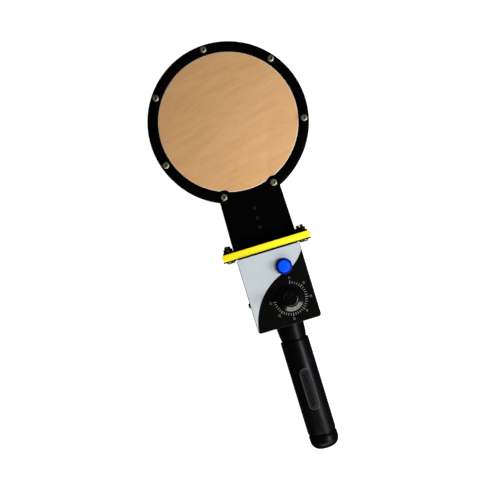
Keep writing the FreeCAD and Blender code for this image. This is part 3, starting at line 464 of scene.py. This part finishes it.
ring_turns = [math.radians(OUTER_SCREW_MIDDLE + OUTER_SCREW_STEP * n) for n in range(-2, 3)]
ring_turns += [-NECK_SCREW_TURN, NECK_SCREW_TURN]
ring_places = [(SCREW_PITCH_R * math.sin(turn), HEAD_Y - SCREW_PITCH_R * math.cos(turn),
                frame_high.z) for turn in ring_turns]
ring_screws = join(place_bm(socket_head(RING_SCREW_SIZE), at) for at in ring_places)
piece("ring_screws", ring_screws, [yellow_zinc, socket_painted_shade_zinc], ["ring_screws"])

neck_places = [(0, HEAD_Y - out, frame_high.z + NECK_SCREW_PROUD) for out in NECK_SCREWS_OUT]
neck_screws = join(place_bm(flat_head(NECK_SCREW_SIZE, NECK_SCREW_LENGTH), at)
                   for at in neck_places)
piece("neck_screws", neck_screws, [worn_steel], ["neck_screws"])

# --- Bolted joint ------------------------------------------------------------------------------
# A black neck flange, a yellow cast spacer and a black steel box flange are clamped by four M4
# dome-head bolts, their heads on the box's side and nuts with bare thread ends on the head's side.


def slab(low, high):
    """Plain block between two corners."""
    bm = bmesh.new()
    bmesh.ops.create_cube(bm, size=1.0)
    bmesh.ops.scale(bm, vec=Vector(high) - Vector(low), verts=bm.verts)
    bmesh.ops.translate(bm, vec=(Vector(high) + Vector(low)) / 2, verts=bm.verts)
    return bm


def round_corners(bm, radius, axis):
    """Rounds the four edges of a block that run along X, Y or Z (0, 1 or 2)."""
    others = [n for n in range(3) if n != axis]
    edges = [edge for edge in bm.edges
             if all(abs(edge.verts[0].co[n] - edge.verts[1].co[n]) < SAME_PLACE for n in others)]
    bmesh.ops.bevel(bm, geom=edges, offset=radius, affect="EDGES", segments=6, profile=0.5,
                    material=-1)
    return bm


def hex_head(across_flats, height):
    """Hexagon head or nut with its corners turned off, standing on Z = 0."""
    flats = hexagon(across_flats)
    turned_r = across_flats * 0.475

    def chamfered(turn):
        return min(flats(turn), across_flats * 0.545)
    rings = [(turned_r, 0), (chamfered, 0.12 * height), (flats, 0.26 * height),
             (flats, 0.74 * height), (chamfered, 0.88 * height), (turned_r, height)]
    return loft(rings, 96)


def dome_head(size):
    """Domed head with a hexagon socket, standing on Z = 0."""
    head_r, head_h = 0.95 * size, 0.6 * size
    ball_r = (head_r ** 2 + head_h ** 2) / (2 * head_h)
    rings = []
    for height in (0.0, 0.1 * size, 0.2 * size, 0.3 * size, 0.4 * size, 0.48 * size):
        rings.append((math.sqrt(ball_r ** 2 - (height + ball_r - head_h) ** 2), height))
    socket = hexagon(0.65 * size)
    return loft(rings + [(socket, 0.54 * size), (socket, 0.26 * size), (0, 0.25 * size)], 96)


def threaded_shank(radius, plain, thread, pitch):
    """Shank from Z = 0 up: plain first, then threaded to a chamfered tip."""
    rings = [(radius, 0)]
    for turn in range(int(thread / pitch)):
        low = plain + turn * pitch
        rings += [(radius, low), (radius - 0.35 * pitch, low + 0.5 * pitch)]
    rings += [(radius * 0.8, plain + thread), (0, plain + thread)]
    return loft(rings, 32)


def ring_washer(radius, bore_r, thick):
    """Plain washer, standing on Z = 0."""
    rings = [(radius, 0), (radius, thick), (bore_r, thick), (bore_r, 0)]
    return loft(rings, 48, closed=True)


neck_flange_low, neck_flange_high = cad("neck_flange")
spacer_low, spacer_high = cad("yellow_spacer")
box_flange_low, box_flange_high = cad("box_flange")
box_low, box_high = cad("box_shell")
FLANGE_CORNER_R, SPACER_CORNER_R = 2.0, 2.5
BOLT_X, BOLT_LEAN, BOLT_RISE = 41.75, 1.25, 13.0
MID_Z = (spacer_low.z + spacer_high.z) / 2
bolt_spots = [(side * (BOLT_X + rise * BOLT_LEAN), MID_Z + rise * BOLT_RISE)
              for side in (-1, 1) for rise in (-1, 1)]

# Cast polyurethane: strong opaque yellow with a soft sheen and a slightly uneven tone.
yellow_cast = moulded("cast_yellow_polyurethane", "#FFF128", "#FFE91C", 0.45, grain_mm=0.8,
                      relief_mm=0.02, patch_mm=18.0, Specular_IOR_Level=0.25)
# Black oxide on steel: nearly black, with a dull metallic glint.
black_oxide = plated("black_oxide_steel", "#3A302B", "#1E1815", 0.42)
# The bolts' own plating is a dull olive grey that shows on the thread ends.
olive_zinc = plated("olive_zinc_plating", "#A39A84", "#6E6855", 0.45)
# Powder coat: dull black paint with a slight orange-peel texture.
black_paint = moulded("black_powder_coat", "#0B0A08", "#050504", 0.5, grain_mm=0.6,
                      relief_mm=0.03, Specular_IOR_Level=0.2)

neck_flange_bm = round_corners(slab(neck_flange_low, neck_flange_high), FLANGE_CORNER_R, 1)
piece("neck_flange", soften(neck_flange_bm, 0.35), [black_acetal],
      ["neck_flange"])
spacer_bm = round_corners(slab(spacer_low, spacer_high), SPACER_CORNER_R, 2)
piece("yellow_spacer", soften(spacer_bm, 0.4), [yellow_cast],
      ["yellow_spacer"])
box_flange_bm = round_corners(slab(box_flange_low, box_flange_high), FLANGE_CORNER_R, 1)
piece("box_flange", soften(box_flange_bm, 0.3), [black_paint], ["box_flange"])

BOLT_SIZE, THREAD_PITCH = 4.0, 0.7
WASHER_R, WASHER_BORE_R, WASHER_THICK = 4.4, 2.12, 0.8
NUT_FLATS, NUT_HEIGHT = 7.0, 3.2
INNER_NUT_FLATS, INNER_NUT_HEIGHT = 5.5, 2.4
INNER_NUT_X, INNER_NUT_LEVELS = 26.0, (12.0, 31.0)
BOX_WALL = 2.5
TO_HEAD, TO_GRIP = (0, 1, 0), (0, -1, 0)
bolt_end_y = cad("flange_bolts")[1].y
head_face = box_flange_low.y
nut_face = neck_flange_high.y + WASHER_THICK
bolts = [place_bm(dome_head(BOLT_SIZE), (x, head_face, z), TO_GRIP) for x, z in bolt_spots]
grip_length = nut_face + NUT_HEIGHT - head_face
end_length = bolt_end_y - nut_face - NUT_HEIGHT
bolts += [place_bm(threaded_shank(BOLT_SIZE / 2, grip_length, end_length, THREAD_PITCH),
                   (x, head_face, z), TO_HEAD) for x, z in bolt_spots]
piece("flange_bolts", join(bolts), [olive_zinc], ["flange_bolts"])
nuts = [place_bm(hex_head(NUT_FLATS, NUT_HEIGHT), (x, nut_face, z), TO_HEAD)
        for x, z in bolt_spots]
inner_face = box_high.y - BOX_WALL
nuts += [place_bm(hex_head(INNER_NUT_FLATS, INNER_NUT_HEIGHT),
                  (side * INNER_NUT_X, inner_face, level), TO_GRIP)
         for side in (-1, 1) for level in INNER_NUT_LEVELS]
piece("flange_nuts", join(nuts), [black_oxide], ["flange_nuts"])
washers = [place_bm(ring_washer(WASHER_R, WASHER_BORE_R, WASHER_THICK),
                    (x, neck_flange_high.y, z), TO_HEAD) for x, z in bolt_spots]
piece("flange_washers", join(washers), [black_oxide], ["flange_washers"])

# --- Control box -------------------------------------------------------------------------------
# Black moulded ABS box with a lipped front cover, a battery hatch in its back and one black side
# screw. A printed film covers the front: pale at the left and top, black inside a wide arc.


def refinish(node, finish):
    """Gives a CAD node its material."""
    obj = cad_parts[node]
    if not obj.data.materials:
        obj.data.materials.append(finish)
    for index in range(len(obj.material_slots)):
        obj.material_slots[index].material = finish


# ABS: black with the fine spark-eroded grain of a mould, too fine to see but in its dull sheen.
black_abs = moulded("moulded_black_abs", "#101112", "#0A0A0B", 0.45, grain_mm=0.35,
                    relief_mm=0.02, Specular_IOR_Level=0.25)
for node in ("box_shell", "front_cover", "battery_hatch"):
    refinish(node, black_abs)
refinish("hatch_screws", bright_steel)
# Overlay film: smooth printed polyester, satin so that it shows soft light and no hard glare.
pale_film = moulded("pale_printed_film", "#C0C9CD", "#B7C0C4", 0.45, grain_mm=0.25,
                    relief_mm=0.006, patch_mm=25.0)
black_film = moulded("black_printed_film", "#090A07", "#050604", 0.26, grain_mm=0.25,
                     relief_mm=0.01, patch_mm=20.0, Specular_IOR_Level=0.16)
refinish("overlay_light", pale_film)
refinish("overlay_dark", black_film)

SIDE_SCREW_SIZE, SIDE_SCREW_LENGTH = 3.0, 7.0
side_low, side_high = cad("side_screw")
side_at = (box_low.x, (side_low.y + side_high.y) / 2, (side_low.z + side_high.z) / 2)


def pan_head(size, height, depth):
    """Domed head with a cross slot, standing on Z = 0, and its shank below."""
    head_r = 0.95 * size
    rings = [(0, -depth), (size / 2, -depth), (size / 2, 0), (head_r, 0),
             (head_r, 0.45 * height), (head_r * 0.86, 0.82 * height), (head_r * 0.6, height),
             (cross(0.1 * size, 0.42 * size), height),
             (cross(0.08 * size, 0.38 * size), 0.5 * height), (0, 0.45 * height)]
    return loft(rings, 72)


side_screw = pan_head(SIDE_SCREW_SIZE, box_low.x - side_low.x, SIDE_SCREW_LENGTH)
piece("side_screw", place_bm(side_screw, side_at, (-1, 0, 0)), [black_oxide],
      ["side_screw"])

# --- Dial --------------------------------------------------------------------------------------
# White screen print on the black film round the knob: a ring of ticks, with a longer tick and a
# plain number at every fifth. The numbers read along the detector.
INK_THICK = 0.04
FIRST_TICK, TICK_STEP, TICKS = 13, 8.65, 31
TICK_INNER_R, TICK_OUTER_R, TICK_WIDTH = 16.0, 18.6, 0.38
LONG_TICK_EXTRA, LONG_TICK_WIDTH = 0.8, 0.5
NUMBER_R, NUMBER_SIZE = 22.2, 3.0
knob_low, knob_high = cad("knob")
knob_x, knob_y = (knob_low.x + knob_high.x) / 2, (knob_low.y + knob_high.y) / 2
film_top = cad("overlay_dark")[1].z
white_ink = moulded("white_screen_ink", "#A6A9A5", "#888B86", 0.6, grain_mm=0.2)
thin_ink = moulded("thin_white_screen_ink", "#7C7E78", "#646660", 0.6, grain_mm=0.2)


def dial_spot(turn, radius):
    """Place on the film at a clockwise turn from the head's direction."""
    return Vector((knob_x + radius * math.sin(turn), knob_y + radius * math.cos(turn), film_top))


def tick(turn, outer_r, width):
    """Flat bar that points at the dial's middle."""
    bm = slab((-width / 2, TICK_INNER_R, 0), (width / 2, outer_r, INK_THICK))
    spin = Matrix.Rotation(-turn, 4, "Z")
    bmesh.ops.transform(bm, matrix=Matrix.Translation(dial_spot(0, 0)) @ spin, verts=bm.verts)
    return bm


def number(text, at):
    """Plain number as a flat mesh, its line of text along the detector."""
    curve = bpy.data.curves.new("number", "FONT")
    curve.body = text
    curve.size = NUMBER_SIZE
    curve.extrude = INK_THICK / 2
    curve.align_x, curve.align_y = "CENTER", "CENTER"
    obj = shown(bpy.data.objects.new("number", curve))
    bpy.context.view_layer.update()
    mesh = bpy.data.meshes.new_from_object(obj.evaluated_get(bpy.context.evaluated_depsgraph_get()))
    bpy.data.objects.remove(obj)
    bpy.data.curves.remove(curve)
    bm = bmesh.new()
    bm.from_mesh(mesh)
    bpy.data.meshes.remove(mesh)
    turn = Matrix.Rotation(math.radians(90), 4, "Z")
    lift = Matrix.Translation(Vector(at) + Vector((0, 0, INK_THICK / 2)))
    bmesh.ops.transform(bm, matrix=lift @ turn, verts=bm.verts)
    return bm


ticks, numbers = [], []
for index in range(TICKS):
    dial_turn = math.radians(FIRST_TICK + TICK_STEP * index)
    if index % 5:
        ticks.append(tick(dial_turn, TICK_OUTER_R, TICK_WIDTH))
    else:
        ticks.append(tick(dial_turn, TICK_OUTER_R + LONG_TICK_EXTRA, LONG_TICK_WIDTH))
        numbers.append(number(str(10 * (index // 5 + 1)), dial_spot(dial_turn, NUMBER_R)))
piece("dial_ticks", join(ticks), [white_ink])
piece("dial_numbers", join(numbers), [thin_ink])

# --- Knob --------------------------------------------------------------------------------------
# Skirted knob moulded in satin black phenolic with a fluted grip. A white line filled into the
# skirt is the pointer, and the knob turns with the potentiometer's shaft.
REST_TURN = math.radians(172)
GRIP_R, FLUTES, FLUTE_DEPTH = 7.8, 18, 0.35
KNOB_BORE_R, KNOB_ROOF = 7.4, 4.4
# Lower outer end and upper inner end of the skirt's slope: radius, and height in the knob.
SLOPE_FOOT, SLOPE_TOP = (13.9, 1.6), (9.4, 4.3)
LINE_LENGTH, LINE_WIDTH, LINE_THICK = 5.0, 0.9, 0.24
LINE_START = (0, 9.35, 4.36)


def fluted(radius, depth):
    """Radius with round grooves pressed in all the way round."""
    return lambda turn: radius - depth * (0.5 + 0.5 * math.cos(FLUTES * (turn - REST_TURN))) ** 2


def knob_shape():
    """Skirt, shoulder, fluted grip with a dished top, and the hollow underneath."""
    low, top = knob_low.z, knob_high.z
    foot_r, foot_z = SLOPE_FOOT
    top_r, top_z = SLOPE_TOP
    rings = [(KNOB_BORE_R, low), (foot_r, low), (14.25, low + 0.35), (14.25, low + 1.1),
             (foot_r, low + foot_z), (foot_r - 0.15, low + foot_z + 0.09),
             (top_r + 0.15, low + top_z - 0.09), (top_r, low + top_z), (8.6, low + 4.9),
             (GRIP_R + 0.1, low + 5.6), (fluted(GRIP_R, FLUTE_DEPTH), low + 6.4),
             (fluted(GRIP_R - 0.4, FLUTE_DEPTH), top - 0.9), (fluted(GRIP_R - 0.8, 0.2), top - 0.3),
             (GRIP_R - 1.5, top), (GRIP_R - 2.4, top), (GRIP_R - 2.7, top - 0.25),
             (0, top - 0.35), (0, low + KNOB_ROOF), (KNOB_BORE_R, low + KNOB_ROOF)]
    return loft(rings, 216, (knob_x, knob_y), closed=True)


satin_black = moulded("satin_black_phenolic", "#020202", "#010101", 0.2, grain_mm=0.8,
                      relief_mm=0.004, patch_mm=12.0, Specular_IOR_Level=0.5)
piece("knob", knob_shape(), [satin_black], ["knob"], "knob")

line_bm = slab((-LINE_WIDTH / 2, 0, -LINE_THICK / 2), (LINE_WIDTH / 2, LINE_LENGTH, LINE_THICK / 2))
slope = math.atan2(SLOPE_FOOT[1] - SLOPE_TOP[1], SLOPE_FOOT[0] - SLOPE_TOP[0])
tilted = Matrix.Translation(LINE_START) @ Matrix.Rotation(slope, 4, "X")
pointing = Matrix.Rotation(-REST_TURN, 4, "Z") @ tilted
on_knob = Matrix.Translation((knob_x, knob_y, knob_low.z)) @ pointing
bmesh.ops.transform(line_bm, matrix=on_knob, verts=line_bm.verts)
piece("knob_pointer", soften(line_bm, 0.05), [thin_ink], ["knob_pointer"],
      "knob")

# --- Push button -------------------------------------------------------------------------------
# Blue moulded cap in a darker blue rim. The rim's barrel goes through the cover to a nut, and the
# cap slides in it on a spring.
rim_low, rim_high = cad("button_rim")
cap_low, cap_high = cad("button_cap")
button_at = ((rim_low.x + rim_high.x) / 2, (rim_low.y + rim_high.y) / 2)
BORE_R, BARREL_R, RIM_R = 7.05, 7.9, 9.0
CAP_R, CUP_R, CAP_ROOF = 6.75, 4.9, 1.8
rim_top, cap_top = rim_high.z, cap_high.z
rim_rings = [(BARREL_R, rim_low.z), (BARREL_R, film_top), (RIM_R - 0.15, film_top),
             (RIM_R, film_top + 0.2), (RIM_R, rim_top - 1.2), (RIM_R - 0.3, rim_top - 0.5),
             (RIM_R - 0.9, rim_top - 0.1), (RIM_R - 1.3, rim_top), (BORE_R + 0.1, rim_top - 0.1),
             (BORE_R, rim_top - 0.3), (BORE_R, rim_low.z)]
rim_blue = moulded("deep_blue_moulding", "#02088A", "#020468", 0.3, grain_mm=0.6,
                   relief_mm=0.004, patch_mm=8.0, Specular_IOR_Level=0.2)
piece("button_rim", loft(rim_rings, 96, button_at, closed=True), [rim_blue],
      ["button_rim"])
cap_rings = [(CUP_R, cap_low.z), (CAP_R, cap_low.z), (CAP_R, cap_top - 1.0),
             (CAP_R - 0.25, cap_top - 0.45), (CAP_R - 0.75, cap_top - 0.12),
             (CAP_R - 1.5, cap_top), (0, cap_top), (0, cap_top - CAP_ROOF),
             (CUP_R, cap_top - CAP_ROOF)]
cap_blue = moulded("bright_blue_moulding", "#0255F4", "#024AE4", 0.4, grain_mm=0.6,
                   relief_mm=0.004, patch_mm=8.0, Specular_IOR_Level=0.15)
piece("button_cap", loft(cap_rings, 96, button_at, closed=True), [cap_blue],
      ["button_cap"], "button")

SPRING_WIRE_R, COILS, COIL_STEPS = 0.35, 6, 48
spring_low, spring_high = cad("button_spring")
spring_height = spring_high.z - spring_low.z


def coil_spring():
    """Round wire wound up round the cap's stem, from the switch body to the cap."""
    start = (spring_high.x - SPRING_WIRE_R, button_at[1], spring_low.z + SPRING_WIRE_R)
    across = Matrix.Translation(start) @ Matrix.Rotation(math.radians(90), 4, "X")
    bm = bmesh.new()
    bmesh.ops.create_circle(bm, cap_ends=True, segments=12, radius=SPRING_WIRE_R, matrix=across)
    steps = COILS * COIL_STEPS
    climb = (0, 0, (spring_height - 2 * SPRING_WIRE_R) / steps)
    bmesh.ops.spin(bm, geom=bm.verts[:] + bm.edges[:] + bm.faces[:], cent=(*button_at, 0),
                   axis=(0, 0, 1), angle=COILS * math.tau, steps=steps, dvec=climb)
    return bm


spring = piece("button_spring", coil_spring(), [bright_steel], ["button_spring"])
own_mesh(spring)

# --- Grip --------------------------------------------------------------------------------------
# A black moulded collar, a rubber sleeve with a raised oval badge, and a moulded end cap behind a
# groove, all on one steel tube. The badge holds a row of plain slanting ribs.
collar_low, collar_high = cad("handle_collar")
sleeve_low, sleeve_high = cad("grip_sleeve")
end_low, end_high = cad("end_cap")
badge_low, badge_high = cad("grip_badge")
TUBE_R = 11.05
SLEEVE_R = (sleeve_high.x - sleeve_low.x) / 2


def along_grip(rings, start_y, closed=True):
    """Skin of rings about the grip's axis, heights counted from a place towards the end."""
    return place_bm(loft(rings, 128, closed=closed), (0, start_y, MID_Z), TO_GRIP)


# Nylon: deep black, with a low even sheen.
black_nylon = moulded("moulded_black_nylon", "#040404", "#020202", 0.36, grain_mm=0.5,
                      relief_mm=0.02, Specular_IOR_Level=0.12)
# Soft rubber: black, satin where hands have polished it, with a fine moulded grain.
grip_rubber = moulded("moulded_black_rubber", "#040406", "#020203", 0.34, grain_mm=0.7,
                      relief_mm=0.03, patch_mm=14.0, Specular_IOR_Level=0.17)
# The badge's rim is the same rubber coloured grey, a painted highlight on the raised edge. Its
# floor is a darker grey, a painted sheen for the broad highlight over it, and its ribs are black.
painted_highlight_rubber = moulded("rubber_with_painted_rim_highlight", "#444448", "#333336", 0.6, grain_mm=0.9,
                        relief_mm=0.05, patch_mm=5.0, Specular_IOR_Level=0.3)
painted_sheen_rubber = moulded("rubber_with_painted_floor_sheen", "#1C1C1E", "#131315", 0.6, grain_mm=0.9,
                      relief_mm=0.05, patch_mm=5.0, Specular_IOR_Level=0.2)
rib_rubber = moulded("matt_black_rubber", "#020202", "#010101", 0.5, Specular_IOR_Level=0.04)

collar_length = collar_high.y - collar_low.y
collar_rings = [(TUBE_R, 0), (15.4, 0), (15.7, 0.3), (15.65, 2.2), (15.3, 8.0), (14.8, 13.0),
                (14.2, collar_length - 2.0), (14.1, collar_length - 0.2), (13.9, collar_length),
                (TUBE_R, collar_length)]
piece("handle_collar", along_grip(collar_rings, collar_high.y), [black_nylon],
      ["handle_collar"])

sleeve_length = sleeve_high.y - sleeve_low.y
sleeve_rings = [(TUBE_R, 0), (SLEEVE_R - 1.2, 0), (SLEEVE_R - 0.5, 0.3),
                (SLEEVE_R - 0.1, 0.9), (SLEEVE_R, 1.8), (SLEEVE_R, sleeve_length - 0.8),
                (SLEEVE_R - 0.15, sleeve_length - 0.3), (SLEEVE_R - 0.5, sleeve_length),
                (TUBE_R, sleeve_length)]
piece("grip_sleeve", along_grip(sleeve_rings, sleeve_high.y), [grip_rubber],
      ["grip_sleeve"])

PLUG_R, PLUG_IN, TUBE_IN = 9.45, -10.0, 5.2
cap_length = end_high.y - end_low.y + PLUG_IN
GROOVE_R, BARREL_END_R = SLEEVE_R - 0.6, SLEEVE_R + 0.05
dome = [(16.0, 9.5), (15.86, 10.7), (15.5, 12.1), (14.95, 13.4), (14.2, 14.7), (13.2, 15.9),
        (12.0, 16.9), (10.6, 17.7), (9.0, 18.2), (7.4, 18.5), (4.0, 18.8)]
end_rings = [(0, PLUG_IN), (PLUG_R, PLUG_IN), (PLUG_R, TUBE_IN), (TUBE_R, TUBE_IN), (TUBE_R, 0),
             (GROOVE_R, 0), (GROOVE_R, 2.6), (BARREL_END_R - 0.3, 3.1), (BARREL_END_R, 3.7)]
end_rings += dome + [(0, cap_length)]
piece("end_cap", along_grip(end_rings, sleeve_low.y, closed=False), [black_nylon],
      ["end_cap"])


def stadium(half_width, half_length):
    """Radius of a straight-sided oval at a turn, its long way at turn 0."""
    reach = half_length - half_width

    def at(turn):
        aside, along = abs(math.sin(turn)), abs(math.cos(turn))
        if along * half_width <= aside * reach:
            return half_width / aside
        return reach * along + math.sqrt(half_width ** 2 - (reach * aside) ** 2)
    return at


def wrap_on_sleeve(bm, middle_y):
    """Bends a flat shape made round the origin over the top of the sleeve."""
    for vert in bm.verts:
        turn = vert.co.x / SLEEVE_R
        reach = SLEEVE_R + vert.co.z
        vert.co = (reach * math.sin(turn), vert.co.y + middle_y, MID_Z + reach * math.cos(turn))
    return bm


BADGE_HALF_WIDTH, BADGE_FLOOR = 6.2, 0.06
RIBS_EACH_WAY, RIB_STEP, RIB_SLANT = 6, 2.9, math.radians(35)
RIB_HALF_LENGTH, RIB_HALF_WIDTH, RIB_HEIGHT = 3.2, 0.5, 0.42
RIM_FINISH, FLOOR_FINISH, RIB_FINISH = 1, 2, 3
badge_half_length = (badge_high.y - badge_low.y) / 2


def badge_outline(inset):
    """Outline of the badge, a distance in from its edge."""
    return stadium(BADGE_HALF_WIDTH - inset, badge_half_length - inset)


def slanting_rib(along):
    """Rib across the badge's floor, a distance along it, with cuts to bend at."""
    rib = slab((-RIB_HALF_LENGTH, -RIB_HALF_WIDTH, 0),
               (RIB_HALF_LENGTH, RIB_HALF_WIDTH, RIB_HEIGHT))
    soften(rib, 0.18)
    long_edges = [edge for edge in rib.edges if edge.calc_length() > RIB_HALF_LENGTH]
    bmesh.ops.subdivide_edges(rib, edges=long_edges, cuts=8)
    bmesh.ops.rotate(rib, verts=rib.verts, matrix=Matrix.Rotation(RIB_SLANT, 3, "Z"))
    bmesh.ops.translate(rib, verts=rib.verts, vec=(0, along, 0))
    for face in rib.faces:
        face.material_index = RIB_FINISH
    return rib


badge_rings = [(badge_outline(0), -0.3), (badge_outline(0), 0.3), (badge_outline(0.2), 0.5),
               (badge_outline(0.7), 0.5), (badge_outline(0.9), 0.3),
               (badge_outline(0.9), BADGE_FLOOR), (badge_outline(3.5), BADGE_FLOOR),
               (stadium(1.0, badge_half_length - 6.0), BADGE_FLOOR)]
badge = loft(badge_rings, 160)
# The rim takes the painted-highlight grey and the floor takes the painted-sheen grey.
for face in badge.faces:
    face.material_index = RIM_FINISH if face.calc_center_median().z > 0.2 else FLOOR_FINISH
ribs = [slanting_rib(RIB_STEP * n) for n in range(-RIBS_EACH_WAY, RIBS_EACH_WAY + 1)]
badge_bm = wrap_on_sleeve(join([badge] + ribs), (badge_low.y + badge_high.y) / 2)
piece("grip_badge", badge_bm, [grip_rubber, painted_highlight_rubber, painted_sheen_rubber, rib_rubber],
      ["grip_badge"])

# --- Inside ------------------------------------------------------------------------------------
# Coils, circuit, battery and the rest of the inner pieces keep their plain CAD shapes, each in its
# own real finish.
natural_nylon = moulded("natural_nylon", "#DCD8C8", "#CFCAB8", 0.5)
copper_wire = plated("enamelled_copper_wire", "#B9683A", "#8E4A26", 0.35, wear_mm=0.6)
brass = plated("turned_brass", "#D6B46A", "#B8944C", 0.3)
foam = moulded("charcoal_foam", "#2B2C2E", "#1A1B1C", 0.9, grain_mm=0.8, relief_mm=0.2)
board_mask = moulded("green_solder_mask", "#0E6A34", "#0A5228", 0.35, grain_mm=1.2,
                     relief_mm=0.02, patch_mm=4.0)
epoxy_black = moulded("moulded_black_epoxy", "#1D1D1E", "#141415", 0.55)
sleeve_blue = moulded("blue_shrink_sleeve", "#1B2C66", "#131F4B", 0.3)
ferrite = moulded("sintered_ferrite", "#3A3A3C", "#2A2A2C", 0.6)
trimmer_blue = moulded("blue_trimmer_moulding", "#2460C4", "#1C4FA6", 0.4)
header_white = moulded("white_nylon_header", "#E6E4DA", "#D8D5C8", 0.5)
lacquered_can = moulded("lacquered_battery_can", "#5A5C60", "#44464A", 0.3, Metallic=0.6)
cable_grey = moulded("grey_cable_sheath", "#6A6C70", "#585A5E", 0.5)
wire_red = moulded("red_wire_insulation", "#B02018", "#8C1812", 0.45)
soft_rubber = moulded("soft_black_rubber", "#161616", "#0E0E0E", 0.7)
INNER_FINISHES = [
    (natural_nylon, ("coil_former", "lead_clip", "battery_holder", "button_stem")),
    (copper_wire, ("transmit_coil", "receive_coil")),
    (brass, ("thread_inserts", "solder_tags", "potentiometer_shaft")),
    (foam, ("foam_pads",)),
    (board_mask, ("circuit_board",)),
    (epoxy_black, ("circuit_chips", "battery_snap", "sounder", "switch_body")),
    (sleeve_blue, ("capacitors",)),
    (ferrite, ("coil_transformer",)),
    (trimmer_blue, ("tone_trimmer",)),
    (header_white, ("board_headers",)),
    (lacquered_can, ("battery",)),
    (cable_grey, ("coil_lead",)),
    (wire_red, ("inner_wires",)),
    (soft_rubber, ("lead_grommet",)),
    (bright_steel, ("flange_screws", "board_screws", "knob_grub_screw", "potentiometer_body",
                    "potentiometer_nut", "button_nut", "handle_tube", "handle_plug",
                    "handle_washer", "handle_bolt")),
]
for finish, inner_nodes in INNER_FINISHES:
    for node in inner_nodes:
        refinish(node, finish)
